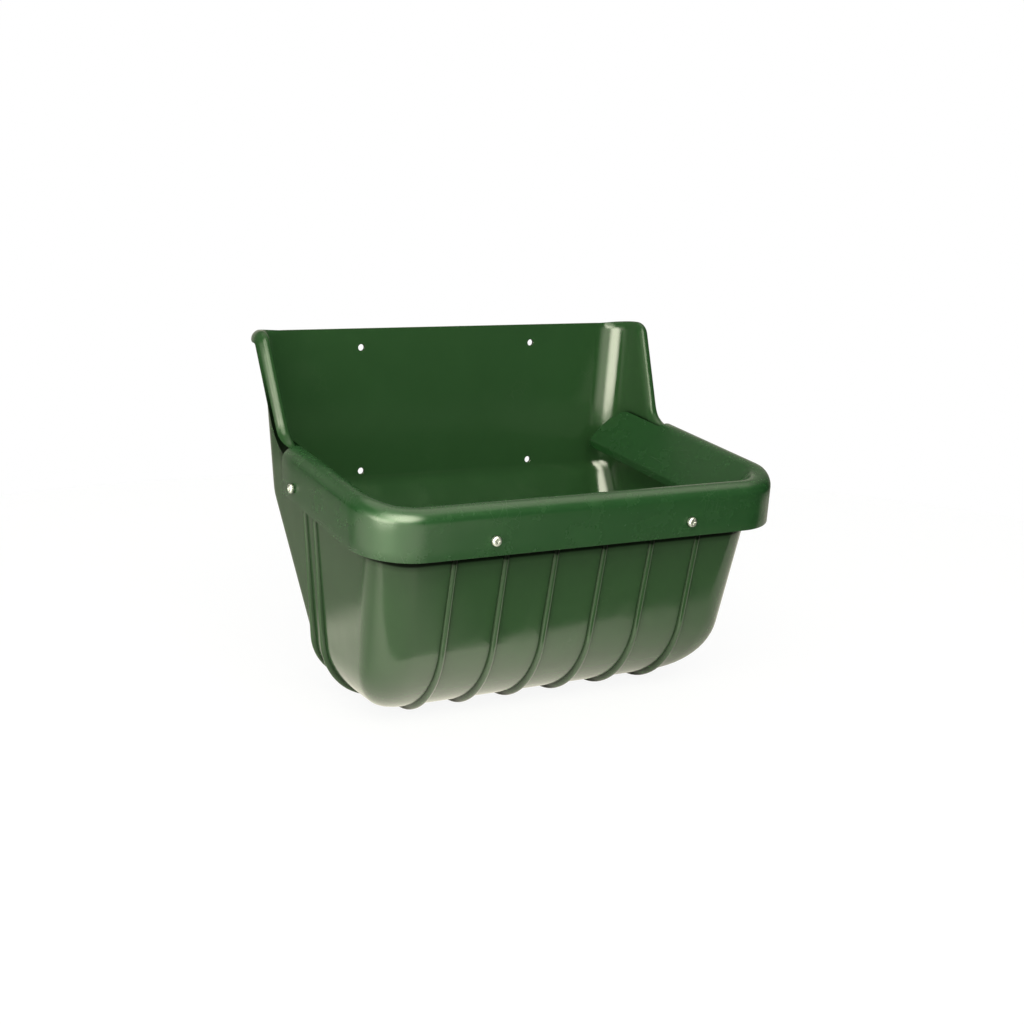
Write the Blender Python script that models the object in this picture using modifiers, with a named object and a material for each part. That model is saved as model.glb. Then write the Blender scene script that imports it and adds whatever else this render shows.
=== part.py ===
"""Wall feed trough: a moulded bowl with back panel and wings, a guard rim screwed over its lip, fasteners.

Metres, +Z up. The wall is the plane Y = 0, the trough stands out of it towards -Y, and the origin is the
centre of the four wall holes on the back face of the panel. The outlines are drawn with the plane of the
rim at the front as height zero, and each piece is then moved down by RIM_DROP.
"""

from collections import namedtuple
from math import cos, pi, radians, sin, tan

import bmesh
import bpy
from mathutils import Matrix, Vector
from mathutils.bvhtree import BVHTree

# Driving sizes of the whole trough
RIM_WIDTH = 0.584
TROUGH_DEPTH = 0.414
BOWL_DEPTH = 0.2935
PANEL_HEIGHT = 0.1613
RIM_RISE = 0.047
FRONT_DIP = 0.005
FRONT_DIP_RUN = 0.045
FIT_GAP = 0.0003
CUT_OVERRUN = 0.010

# Moulded body
BODY_WALL = 0.004
SIDE_LIP_SPAN = 0.0099
FRONT_LIP_SPAN = 0.006
SIDE_DRAFT_SHARE = 0.072
FRONT_FOOT_SHARE = 0.77446
BACK_FOOT_SHARE = 0.37133
KINK_DROP = 0.048
KINK_ROUND = 0.008
BACK_CORNER = 0.038
LOW_CORNER = 0.005
SIDE_BOTTOM_ROUND = 0.072
FRONT_ROUND_SHARE = 0.5872
BACK_ROUND_SHARE = 0.2996

# Wings and rolled lip
WING_LEAN_SHARE = 0.408
WING_TOP_RUN = 0.0063
WING_TOP_ROUND = 0.006
WING_FILLET = 0.060
LIP_SPAN_MIN = 0.0077
WING_LIP_RISE = 0.0155
TAIL_EDGE = 0.009
TAIL_RAMP = 0.014

# Wall holes
HOLE_SPAN_SHARE = 0.44863
HOLE_TOP_DROP = 0.0258
HOLE_KINK_RISE = 0.0135
HOLE_DIAMETER = 0.009

# Ribs on the outside of the bowl
FRONT_RIB_PAIRS = 3
RIB_CORNER_GAP = 0.049
SIDE_RIB_COUNT = 2
SIDE_RIB_PITCH = 0.033
SIDE_RIB_PLACE = 0.1475
RIB_WIDTH = 0.011
RIB_EDGE = 0.0018
RIB_ROOT = 0.002
RIB_TOP_HEIGHT = 0.003
RIB_FOOT_HEIGHT = 0.006
RIB_START_DROP = 0.052
RIB_BACK_DROP = 0.014
RIB_EDGE_ANGLE = radians(60)

# Guard rim
RIM_WALL = 0.003
RIM_ROUND = 0.015
RIM_CORNER = 0.072
SKIRT_HEIGHT = 0.065
SKIRT_DRAFT_SHARE = 0.05
FLANGE_WIDTH = 0.0395
FLANGE_ANGLE = radians(50)
HEM_HEIGHT = 0.010
CREST_END = 0.143
END_KNEE_PLACE = 0.130
END_KNEE_DROP = 0.022
SKIRT_END = 0.125
FLANGE_SIDE_GAP = 0.004
FLANGE_BACK_GAP = 0.016
FLANGE_CORNER = 0.042

# Screws, washers and nuts
SCREW_SPAN_SHARE = 0.46575
SCREW_DROP_SHARE = 0.7077
SIDE_SCREW_PLACE = 0.167
THREAD_DIAMETER = 0.006
THREAD_CHAMFER = 0.0006
SCREW_LENGTH = 0.016
HEAD_DIAMETER = 0.012
HEAD_HEIGHT = 0.0038
HEAD_EDGE = 0.0020
RECESS_SPAN = 0.0066
RECESS_WIDTH = 0.0014
RECESS_DEPTH = 0.0018
WASHER_DIAMETER = 0.0125
WASHER_THICKNESS = 0.0016
NUT_FLATS = 0.010
NUT_THICKNESS = 0.005
NUT_SIDES = 6

# Steps round each kind of curve
PANEL_STEPS = 2
BACK_CORNER_STEPS = 6
FRONT_CORNER_STEPS = 7
FRONT_STEPS = 2
SIDE_STEPS = 4
BOTTOM_STEPS = 6
WALL_STEPS = 2
UPPER_STEPS = 3
LIP_STEPS = 8
WING_FILLET_STEPS = 6
WING_TOP_STEPS = 3
WING_LINE_STEPS = 3
RIM_ARC_STEPS = 10
RIM_SIDE_STEPS = 4
RIB_WALL_STEPS = 4
RIB_ROUND_STEPS = 9
RIM_START_ROUNDS = 6
FLANGE_CORNER_STEPS = 8
ROUND_SIDES = 20
HEAD_EDGE_STEPS = 4
CROSS_ARMS = 4
MIDDLE_SHARE = 0.5
SMOOTH_ANGLE = radians(32)
MERGE_DISTANCE = 0.00001

# Finishes
BODY_COLOUR = (0.030, 0.100, 0.035)
RIM_COLOUR = (0.028, 0.095, 0.033)
PLASTIC_ROUGHNESS = 0.35
ZINC_COLOUR = (0.60, 0.60, 0.58)
ZINC_ROUGHNESS = 0.35

# Sizes that follow from the ones above
HOLE_RISE = PANEL_HEIGHT + KINK_DROP - HOLE_TOP_DROP - HOLE_KINK_RISE
HOLE_SPAN = HOLE_SPAN_SHARE * RIM_WIDTH
RIM_DROP = HOLE_KINK_RISE - KINK_DROP + HOLE_RISE / 2
SCREW_SPAN = SCREW_SPAN_SHARE * RIM_WIDTH
SCREW_DROP = SCREW_DROP_SHARE * SKIRT_HEIGHT
LIP_TAIL = SCREW_DROP + TAIL_EDGE - RIM_ROUND
RIM_SLOPE = RIM_RISE / TROUGH_DEPTH
RIM_HALF = RIM_WIDTH / 2
FRONT_RIB_PITCH = (RIM_HALF - RIM_CORNER - RIB_CORNER_GAP) / (FRONT_RIB_PAIRS - MIDDLE_SHARE)
ROLL_HALF = RIM_HALF - RIM_ROUND
ROLL_FRONT = -(TROUGH_DEPTH - RIM_ROUND)
ROLL_CORNER = RIM_CORNER - RIM_ROUND
LIP_RISE = RIM_ROUND - RIM_WALL - 2 * FIT_GAP
SIDE_INSET = RIM_ROUND + SIDE_LIP_SPAN
FRONT_INSET = RIM_ROUND + FRONT_LIP_SPAN
FRONT_FOOT = FRONT_FOOT_SHARE * TROUGH_DEPTH
BACK_FOOT = BACK_FOOT_SHARE * TROUGH_DEPTH
FRONT_DRAFT = (TROUGH_DEPTH - FRONT_INSET - FRONT_FOOT) / (BOWL_DEPTH - BODY_WALL)
BACK_SLOPE = (BACK_FOOT - BODY_WALL) / (BOWL_DEPTH - BODY_WALL - KINK_DROP)
FRONT_BOTTOM_ROUND = FRONT_ROUND_SHARE * (FRONT_FOOT - BACK_FOOT)
BACK_BOTTOM_ROUND = BACK_ROUND_SHARE * (FRONT_FOOT - BACK_FOOT)
FRONT_CORNER = ROLL_CORNER - FRONT_LIP_SPAN - FRONT_DRAFT * (RIM_ROUND + FRONT_DIP)
BOTTOM_INNER = BODY_WALL - BOWL_DEPTH
LIP_TOP_START = PANEL_HEIGHT - LIP_RISE
KINK_LOW = -KINK_DROP - KINK_ROUND
KINK_HIGH = -KINK_DROP + KINK_ROUND
SCREW_HOLE = THREAD_DIAMETER + 2 * FIT_GAP
HEAD_SEAT = WASHER_THICKNESS + 2 * FIT_GAP
NUT_SEAT = -(RIM_WALL + BODY_WALL + 3 * FIT_GAP)

Column = namedtuple("Column", "kind share start lift roll rise tail")


def blend(low, high, share):
    return low + (high - low) * share


def ease(share):
    """Share that starts and ends level, held between 0 and 1."""
    share = min(max(share, 0), 1)
    return share * share * (3 - 2 * share)


def rim_plane(y):
    """Height at a place y of the sloping plane that the rim follows. It is zero at the front."""
    return RIM_SLOPE * (y + TROUGH_DEPTH)


def crest_height(y):
    """Height of the rim's crest at a place y. The crest dips below the plane at the front."""
    return rim_plane(y) - FRONT_DIP * ease((ROLL_FRONT + FRONT_DIP_RUN - y) / FRONT_DIP_RUN)


def half_width(z):
    """Inner face of the side wall, as a distance from the middle plane."""
    return RIM_HALF - SIDE_INSET + SIDE_DRAFT_SHARE * z


def front_face(z):
    """Inner face of the front wall. Above height zero the trough has no front wall."""
    return -(TROUGH_DEPTH - FRONT_INSET) - FRONT_DRAFT * min(z, 0)


def back_face(z):
    """Inner face of the back: plumb down to the kink, then sloping forward."""
    below = -KINK_DROP - z
    if below <= -KINK_ROUND:
        run = 0
    elif below < KINK_ROUND:
        run = (below + KINK_ROUND) ** 2 / (4 * KINK_ROUND)
    else:
        run = below
    return -BODY_WALL - BACK_SLOPE * run


def outline_point(kind, share, z, turn):
    """Inner face of one column at height z. The turn is the angle through the bottom rounding."""
    sink = 1 - cos(turn)
    half = half_width(z) - SIDE_BOTTOM_ROUND * sink
    front = front_face(z) + FRONT_BOTTOM_ROUND * sink
    back = back_face(z) - BACK_BOTTOM_ROUND * sink
    back_radius = blend(BACK_CORNER, LOW_CORNER, sink)
    front_radius = blend(FRONT_CORNER, LOW_CORNER, sink)
    angle = share * pi / 2
    if kind == "panel":
        return Vector((blend(0, half - back_radius, share), back, z))
    if kind == "back_corner":
        centre = Vector((half - back_radius, back - back_radius, z))
        return centre + back_radius * Vector((sin(angle), cos(angle), 0))
    if kind == "side":
        return Vector((half, blend(back - back_radius, front + front_radius, share), z))
    if kind == "front_corner":
        centre = Vector((half - front_radius, front + front_radius, z))
        return centre + front_radius * Vector((cos(angle), -sin(angle), 0))
    return Vector((blend(half - front_radius, 0, share), front, z))


def outward(kind, share):
    """Level direction out of the bowl at a column."""
    angle = share * pi / 2
    directions = {
        "panel": (0, 1, 0),
        "back_corner": (sin(angle), cos(angle), 0),
        "side": (1, 0, 0),
        "front_corner": (cos(angle), -sin(angle), 0),
        "front": (0, -1, 0),
    }
    return Vector(directions[kind])


def roll_centre(kind, share, start):
    """Middle of the lip's roll: under the crest of the rim, and at the side of the wings."""
    angle = share * pi / 2
    if kind == "front_corner":
        centre = Vector((ROLL_HALF - ROLL_CORNER, ROLL_FRONT + ROLL_CORNER, 0))
        return centre + ROLL_CORNER * Vector((cos(angle), -sin(angle), 0))
    if kind == "front":
        return Vector((blend(ROLL_HALF - ROLL_CORNER, 0, share), ROLL_FRONT, 0))
    span = max(ROLL_HALF - start.x, LIP_SPAN_MIN) if kind == "side" else LIP_SPAN_MIN
    return start + span * outward(kind, share)


def bottom_round(kind, share):
    """Height of the bottom rounding at a column."""
    mix = sin(share * pi / 2) ** 2
    heights = {
        "panel": BACK_BOTTOM_ROUND,
        "back_corner": blend(BACK_BOTTOM_ROUND, SIDE_BOTTOM_ROUND, mix),
        "side": SIDE_BOTTOM_ROUND,
        "front_corner": blend(SIDE_BOTTOM_ROUND, FRONT_BOTTOM_ROUND, mix),
        "front": FRONT_BOTTOM_ROUND,
    }
    return heights[kind]


def fillet(corner, before, after, radius, steps):
    """Arc that rounds the corner between two unit directions, as places with the direction at each."""
    side = Vector((-before.y, before.x))
    if side.dot(after) < 0:
        side = -side
    turn = before.angle(after)
    start = corner - before * radius * tan(turn / 2)
    arc = []
    for step in range(steps + 1):
        angle = turn * step / steps
        place = start + radius * (sin(angle) * before + (1 - cos(angle)) * side)
        arc.append((place, cos(angle) * before + sin(angle) * side))
    return arc


def wing_edge():
    """Line where the lip starts on a wing, seen from the side, from the rim up to the panel top."""
    along_rim = Vector((1, RIM_SLOPE)).normalized()
    up_wing = Vector((WING_LEAN_SHARE, 1)).normalized()
    level = Vector((1, 0))
    top = Vector((-(BODY_WALL + BACK_CORNER + WING_TOP_RUN), LIP_TOP_START))
    climb = top.y - crest_height(top.x) + RIM_ROUND
    foot = top - Vector((WING_LEAN_SHARE, 1)) * climb / (1 - RIM_SLOPE * WING_LEAN_SHARE)
    low_arc = fillet(foot, along_rim, up_wing, WING_FILLET, WING_FILLET_STEPS)
    high_arc = fillet(top, up_wing, level, WING_TOP_ROUND, WING_TOP_STEPS)
    line = []
    for step in range(1, WING_LINE_STEPS):
        place = low_arc[-1][0].lerp(high_arc[0][0], step / WING_LINE_STEPS)
        line.append((place, up_wing))
    return low_arc + line + high_arc


def rim_start(kind, share):
    """Height on the inner face, under the rim, where the lip starts to roll."""
    z = 0
    for _ in range(RIM_START_ROUNDS):
        z = crest_height(outline_point(kind, share, z, 0).y) - RIM_ROUND
    return z


def half_columns():
    """Columns of the right half of the body, from the middle of the panel to the middle of the front."""
    plumb = Vector((0, 0, 1))
    columns = []
    for step in range(PANEL_STEPS):
        columns.append(Column("panel", step / PANEL_STEPS, LIP_TOP_START, plumb, 0, LIP_RISE, 0))
    for step in range(BACK_CORNER_STEPS + 1):
        share = step / BACK_CORNER_STEPS
        rise = blend(LIP_RISE, WING_LIP_RISE, ease(share))
        columns.append(Column("back_corner", share, LIP_TOP_START, plumb, pi * ease(share), rise, 0))
    back_end = back_face(0) - BACK_CORNER
    front_start = front_face(0) + FRONT_CORNER
    edge = wing_edge()
    for index, (place, along) in reversed(list(enumerate(edge))):
        share = (place.x - back_end) / (front_start - back_end)
        lift = Vector((0, -along.y, along.x))
        rise = blend(LIP_RISE, WING_LIP_RISE, ease(2 * index / WING_FILLET_STEPS - 1))
        columns.append(Column("side", share, place.y, lift, pi, rise, 0))
    ramp_end = edge[0][0].x - TAIL_RAMP
    first = (ramp_end - back_end) / (front_start - back_end)
    for step in range(SIDE_STEPS):
        share = blend(first, 1, step / SIDE_STEPS)
        start = rim_start("side", share)
        columns.append(Column("side", share, start, None, pi, LIP_RISE, LIP_TAIL))
    for step in range(FRONT_CORNER_STEPS + 1):
        share = step / FRONT_CORNER_STEPS
        start = rim_start("front_corner", share)
        columns.append(Column("front_corner", share, start, None, pi, LIP_RISE, LIP_TAIL))
    for step in range(1, FRONT_STEPS + 1):
        share = step / FRONT_STEPS
        start = rim_start("front", share)
        columns.append(Column("front", share, start, None, pi, LIP_RISE, LIP_TAIL))
    return columns


def lip_points(column, start):
    """Top face of the rolled lip of one column, from its start on the wall to the end of its tail."""
    centre = roll_centre(column.kind, column.share, start)
    centre.z = start.z
    out = outward(column.kind, column.share)
    arc_steps = LIP_STEPS if column.tail else LIP_STEPS + 1
    stretch = 1 / sin(min(column.roll, pi / 2)) if column.roll else 0
    points = []
    for step in range(1, arc_steps + 1):
        angle = column.roll * step / arc_steps
        rise = column.rise * (stretch * sin(angle) if column.roll else step / arc_steps)
        run = stretch * min(1 - cos(angle), 1)
        beyond = LIP_RISE * max(-cos(angle), 0)
        point = start + (centre - start) * run + out * beyond
        if column.lift is None:
            point.z = crest_height(point.y) - RIM_ROUND + rise
        else:
            point.z = start.z
            point += column.lift * rise
        points.append(point)
    if column.tail:
        tail_end = points[-1] - out * SKIRT_DRAFT_SHARE * column.tail
        tail_end.z = crest_height(tail_end.y) - RIM_ROUND - column.tail
        points.append(tail_end)
    return points


def column_points(column):
    """Inner face of the body in one column, from the bottom to the end of the lip."""
    kind, share = column.kind, column.share
    height = bottom_round(kind, share)
    points = []
    for step in range(BOTTOM_STEPS + 1):
        turn = pi / 2 * (1 - step / BOTTOM_STEPS)
        z = BOTTOM_INNER + height * (1 - sin(turn))
        points.append(outline_point(kind, share, z, turn))
    low = BOTTOM_INNER + height
    levels = [blend(low, KINK_LOW, step / WALL_STEPS) for step in range(1, WALL_STEPS + 1)]
    levels += [-KINK_DROP, KINK_HIGH]
    levels += [blend(KINK_HIGH, column.start, step / UPPER_STEPS) for step in range(1, UPPER_STEPS + 1)]
    points += [outline_point(kind, share, z, 0) for z in levels]
    return points + lip_points(column, points[-1])


def material(name, colour, metallic, roughness):
    made = bpy.data.materials.new(name)
    made.use_nodes = True
    shader = made.node_tree.nodes["Principled BSDF"]
    shader.inputs["Base Color"].default_value = (*colour, 1)
    shader.inputs["Metallic"].default_value = metallic
    shader.inputs["Roughness"].default_value = roughness
    return made


def add_object(name, mesh, collection):
    piece = bpy.data.objects.new(name, mesh)
    collection.objects.link(piece)
    return piece


def add_mesh(name, work, collection):
    """Object from a finished bmesh, moved down so that the origin is the centre of the wall holes."""
    bmesh.ops.translate(work, vec=(0, 0, -RIM_DROP), verts=work.verts)
    mesh = bpy.data.meshes.new(name)
    work.to_mesh(mesh)
    work.free()
    return add_object(name, mesh, collection)


def solidify(piece, thickness, offset):
    shell = piece.modifiers.new("wall", "SOLIDIFY")
    shell.thickness = thickness
    shell.offset = offset
    shell.use_even_offset = True


def boolean(piece, other, operation):
    cut = piece.modifiers.new(other.name, "BOOLEAN")
    cut.object = other
    cut.operation = operation
    cut.solver = "EXACT"


def evaluated_mesh(piece):
    bpy.context.view_layer.update()
    depsgraph = bpy.context.evaluated_depsgraph_get()
    return bpy.data.meshes.new_from_object(piece.evaluated_get(depsgraph))


def smooth(piece, angle):
    """Bake the modifiers and shade the piece smooth, with sharp edges past the angle."""
    mesh = evaluated_mesh(piece)
    piece.modifiers.clear()
    piece.data = mesh
    mesh.shade_smooth()
    mesh.set_sharp_from_angle(angle=angle)


def body_shell(collection):
    """Inner face of the whole body, thickened outwards."""
    rows = [column_points(column) for column in half_columns()]
    work = bmesh.new()
    grid = [[work.verts.new(point) for point in row] for row in rows]
    for near, far in zip(grid, grid[1:]):
        for low in range(len(near) - 1):
            work.faces.new((near[low], near[low + 1], far[low + 1], far[low]))
    work.faces.new([row[0] for row in grid])
    bmesh.ops.recalc_face_normals(work, faces=work.faces)
    work.faces.ensure_lookup_table()
    if work.faces[-1].normal.z > 0:
        bmesh.ops.reverse_faces(work, faces=work.faces)
    body = add_mesh("trough_body", work, collection)
    mirror = body.modifiers.new("other_half", "MIRROR")
    mirror.use_clip = True
    mirror.merge_threshold = MERGE_DISTANCE
    solidify(body, BODY_WALL, 1)
    return body


def second_hit(tree, origin, direction):
    """Outer face of the body along a ray that starts inside the bowl."""
    inner = tree.ray_cast(origin, direction)[0]
    outer = tree.ray_cast(inner + direction * BODY_WALL / 2, direction)[0]
    return outer


def rib_rays_front(x):
    """Rays in a plane across the trough: down the front, round the bottom and up the sloping back."""
    start = -RIB_START_DROP
    low = BOTTOM_INNER + FRONT_BOTTOM_ROUND
    front = front_face(BOTTOM_INNER) + FRONT_BOTTOM_ROUND
    middle = blend(front, back_face(BOTTOM_INNER) - BACK_BOTTOM_ROUND, MIDDLE_SHARE)
    rays = []
    for step in range(RIB_WALL_STEPS):
        z = blend(start, low, step / RIB_WALL_STEPS)
        rays.append((Vector((x, middle, z)), Vector((0, -1, 0))))
    for step in range(RIB_ROUND_STEPS + 1):
        angle = pi / 2 * step / RIB_ROUND_STEPS
        rays.append((Vector((x, middle, low)), Vector((0, -cos(angle), -sin(angle)))))
    low = BOTTOM_INNER + BACK_BOTTOM_ROUND
    for step in range(1, RIB_ROUND_STEPS + 1):
        angle = pi / 2 * (1 - step / RIB_ROUND_STEPS)
        rays.append((Vector((x, middle, low)), Vector((0, cos(angle), -sin(angle)))))
    for step in range(1, RIB_WALL_STEPS):
        z = blend(low, KINK_LOW - RIB_BACK_DROP, step / (RIB_WALL_STEPS - 1))
        rays.append((Vector((x, middle, z)), Vector((0, 1, 0))))
    return rays


def rib_rays_side(side, y):
    """Rays in a plane along the wall: down one side and round to the bottom."""
    start = crest_height(y) - RIB_START_DROP
    low = BOTTOM_INNER + SIDE_BOTTOM_ROUND
    inner = half_width(low) - SIDE_BOTTOM_ROUND
    rays = []
    for step in range(RIB_WALL_STEPS):
        z = blend(start, low, step / RIB_WALL_STEPS)
        rays.append((Vector((side * inner, y, z)), Vector((side, 0, 0))))
    for step in range(RIB_ROUND_STEPS):
        angle = pi / 2 * step / RIB_ROUND_STEPS
        rays.append((Vector((side * inner, y, low)), Vector((side * cos(angle), 0, -sin(angle)))))
    return rays


def rib_outline(work, tree, rays):
    """Outline of one band that follows the outside of the bowl along a row of rays."""
    drop = Vector((0, 0, -RIM_DROP))
    high = rays[0][0].z
    reach = high + BOWL_DEPTH
    roots = []
    tops = []
    for origin, direction in rays:
        hit = second_hit(tree, origin + drop, direction) - drop
        height = blend(RIB_TOP_HEIGHT, RIB_FOOT_HEIGHT, (high - hit.z) / reach)
        roots.append(hit - direction * RIB_ROOT)
        tops.append(hit + direction * height)
    work.faces.new([work.verts.new(point) for point in tops + roots[::-1]])


def body_ribs(body, cutters):
    """All the bands on the outside of the bowl, as one shape to join to the body."""
    mesh = evaluated_mesh(body)
    tree = BVHTree.FromPolygons([v.co for v in mesh.vertices], [f.vertices for f in mesh.polygons])
    work = bmesh.new()
    for side in (-1, 1):
        for index in range(FRONT_RIB_PAIRS):
            rib_outline(work, tree, rib_rays_front(side * (index + MIDDLE_SHARE) * FRONT_RIB_PITCH))
        for index in range(SIDE_RIB_COUNT):
            rib_outline(work, tree, rib_rays_side(side, -SIDE_RIB_PLACE - index * SIDE_RIB_PITCH))
    ribs = add_mesh("rib_bands", work, cutters)
    solidify(ribs, RIB_WIDTH, 0)
    bevel = ribs.modifiers.new("edges", "BEVEL")
    bevel.width = RIB_EDGE
    bevel.segments = 1
    bevel.limit_method = "ANGLE"
    bevel.angle_limit = RIB_EDGE_ANGLE
    return ribs


def cylinder(name, diameter, length, frame, collection):
    """Round bar about the Z axis of a frame, with its middle at the frame's origin."""
    work = bmesh.new()
    bmesh.ops.create_cone(
        work,
        cap_ends=True,
        segments=ROUND_SIDES,
        radius1=diameter / 2,
        radius2=diameter / 2,
        depth=length,
        matrix=frame,
    )
    return add_mesh(name, work, collection)


def wall_hole_cutters(cutters):
    made = []
    centre = Vector((0, -BODY_WALL / 2, RIM_DROP))
    for side in (-1, 1):
        for level in (-1, 1):
            place = centre + Vector((side * HOLE_SPAN / 2, 0, level * HOLE_RISE / 2))
            frame = Matrix.Translation(place) @ Matrix.Rotation(pi / 2, 4, "X")
            name = f"wall_hole_{len(made) + 1}"
            made.append(cylinder(name, HOLE_DIAMETER, BODY_WALL + CUT_OVERRUN, frame, cutters))
    return made


def screw_frames():
    """Seat of each rim screw on the skirt, with its Z axis out of the skirt."""
    inset = SKIRT_DRAFT_SHARE * (SCREW_DROP - RIM_ROUND)
    frames = {}
    for name, side in (("front_left", -1), ("front_right", 1)):
        y = -TROUGH_DEPTH + inset
        place = Vector((side * SCREW_SPAN / 2, y, rim_plane(y) - SCREW_DROP))
        out = Vector((0, -1 + SKIRT_DRAFT_SHARE * RIM_SLOPE, -SKIRT_DRAFT_SHARE))
        frames[name] = (place, out)
    for name, side in (("left", -1), ("right", 1)):
        y = -SIDE_SCREW_PLACE
        place = Vector((side * (RIM_HALF - inset), y, rim_plane(y) - SCREW_DROP))
        out = Vector((side, SKIRT_DRAFT_SHARE * RIM_SLOPE, -SKIRT_DRAFT_SHARE))
        frames[name] = (place, out)
    turned = {}
    for name, (place, out) in frames.items():
        turned[name] = Matrix.Translation(place) @ out.to_track_quat("Z", "Y").to_matrix().to_4x4()
    return turned


def rim_path(collection):
    """Middle line of the roll: back along one side, round the front, and back along the other."""
    centre = Vector((ROLL_HALF - ROLL_CORNER, ROLL_FRONT + ROLL_CORNER, 0))
    right = []
    for step in range(RIM_SIDE_STEPS):
        right.append(Vector((ROLL_HALF, blend(0, centre.y, step / RIM_SIDE_STEPS), 0)))
    for step in range(FRONT_CORNER_STEPS + 1):
        angle = pi / 2 * step / FRONT_CORNER_STEPS
        right.append(centre + ROLL_CORNER * Vector((cos(angle), -sin(angle), 0)))
    left = [Vector((-point.x, point.y, 0)) for point in reversed(right)]
    return poly_curve("rim_path", right + left, collection)


def rim_section(collection):
    """Outer face of the rim across the roll: skirt, roll, sloping flange and hem."""
    skirt_low = SKIRT_HEIGHT - RIM_ROUND
    points = [Vector((RIM_ROUND - SKIRT_DRAFT_SHARE * skirt_low, -skirt_low, 0))]
    for step in range(RIM_ARC_STEPS + 1):
        angle = (pi / 2 + FLANGE_ANGLE) * step / RIM_ARC_STEPS
        points.append(RIM_ROUND * Vector((cos(angle), sin(angle), 0)))
    fold = points[-1] - FLANGE_WIDTH * Vector((1, tan(FLANGE_ANGLE), 0))
    points.append(fold)
    points.append(fold - Vector((0, HEM_HEIGHT, 0)))
    return poly_curve("rim_section", [Vector((-point.x, point.y, 0)) for point in points], collection)


def poly_curve(name, points, collection):
    curve = bpy.data.curves.new(name, "CURVE")
    curve.dimensions = "3D"
    line = curve.splines.new("POLY")
    line.points.add(len(points) - 1)
    for target, point in zip(line.points, points):
        target.co = (*point, 1)
    return add_object(name, curve, collection)


def rim_cutters(cutters):
    """Shapes that end the skirt in front of each wing and round the back of the flange inside it."""
    reach = RIM_HALF + CUT_OVERRUN
    edge = half_width(RIM_RISE) - FLANGE_SIDE_GAP
    back = back_face(0) - FLANGE_BACK_GAP
    low = -SKIRT_HEIGHT - CUT_OVERRUN
    high = RIM_RISE + CUT_OVERRUN
    end_line = [
        (-CREST_END, crest_height(-CREST_END) + CUT_OVERRUN),
        (-CREST_END, crest_height(-CREST_END)),
        (-END_KNEE_PLACE, crest_height(-END_KNEE_PLACE) - END_KNEE_DROP),
        (-SKIRT_END, low),
        (CUT_OVERRUN, low),
        (CUT_OVERRUN, high + CUT_OVERRUN),
    ]
    made = []
    for side in (-1, 1):
        name = "left" if side < 0 else "right"
        ends = [Vector((side * edge, y, z)) for y, z in end_line]
        made.append(prism(f"skirt_end_{name}", ends, Vector((side * (reach - edge), 0, 0)), cutters))
        plan = []
        for step in range(FLANGE_CORNER_STEPS + 1):
            angle = pi / 2 * step / FLANGE_CORNER_STEPS
            x = edge - FLANGE_CORNER + FLANGE_CORNER * cos(angle)
            y = back - FLANGE_CORNER + FLANGE_CORNER * sin(angle)
            plan.append((x, y))
        plan += [(0, back), (0, CUT_OVERRUN * 2), (reach + CUT_OVERRUN, CUT_OVERRUN * 2)]
        plan.append((reach + CUT_OVERRUN, back - FLANGE_CORNER))
        corner = [Vector((side * x, y, low - CUT_OVERRUN)) for x, y in plan]
        rise = Vector((0, 0, high - low + CUT_OVERRUN * 3))
        made.append(prism(f"flange_end_{name}", corner, rise, cutters))
    return made


def prism(name, outline, along, collection):
    """Flat outline drawn out into a closed block."""
    work = bmesh.new()
    base = work.faces.new([work.verts.new(point) for point in outline])
    grown = bmesh.ops.extrude_face_region(work, geom=[base])
    moved = [item for item in grown["geom"] if isinstance(item, bmesh.types.BMVert)]
    bmesh.ops.translate(work, vec=along, verts=moved)
    bmesh.ops.recalc_face_normals(work, faces=work.faces)
    return add_mesh(name, work, collection)


def guard_rim(collection, cutters):
    """Section swept along the path, tilted with the slope of the rim, then thickened inwards."""
    path = rim_path(cutters)
    path.data.bevel_mode = "OBJECT"
    path.data.bevel_object = rim_section(cutters)
    mesh = evaluated_mesh(path)
    bpy.data.objects.remove(path.data.bevel_object)
    bpy.data.objects.remove(path)
    work = bmesh.new()
    work.from_mesh(mesh)
    bmesh.ops.remove_doubles(work, verts=work.verts, dist=MERGE_DISTANCE)
    skirt_edge = min(vert.co.z for vert in work.verts) + FIT_GAP
    for vert in work.verts:
        height = rim_plane(vert.co.y) if vert.co.z < skirt_edge else crest_height(vert.co.y)
        vert.co.z += height - RIM_ROUND
    bmesh.ops.recalc_face_normals(work, faces=work.faces)
    top = max(work.faces, key=lambda face: face.calc_center_median().z)
    if top.normal.z < 0:
        bmesh.ops.reverse_faces(work, faces=work.faces)
    rim = add_mesh("guard_rim", work, collection)
    solidify(rim, RIM_WALL, -1)
    for cutter in rim_cutters(cutters):
        boolean(rim, cutter, "DIFFERENCE")
    return rim


def turned_piece(name, profile, frame, sides, collection):
    """Profile of radius and height turned about the Z axis of a frame."""
    mesh = bpy.data.meshes.new(name)
    edges = [(index, index + 1) for index in range(len(profile) - 1)]
    mesh.from_pydata([(radius, 0, height) for radius, height in profile], edges, [])
    piece = add_object(name, mesh, collection)
    turn = piece.modifiers.new("turn", "SCREW")
    turn.axis = "Z"
    turn.steps = sides
    turn.render_steps = sides
    turn.use_merge_vertices = True
    turn.merge_threshold = MERGE_DISTANCE
    piece.matrix_world = Matrix.Translation((0, 0, -RIM_DROP)) @ frame
    return piece


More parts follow.
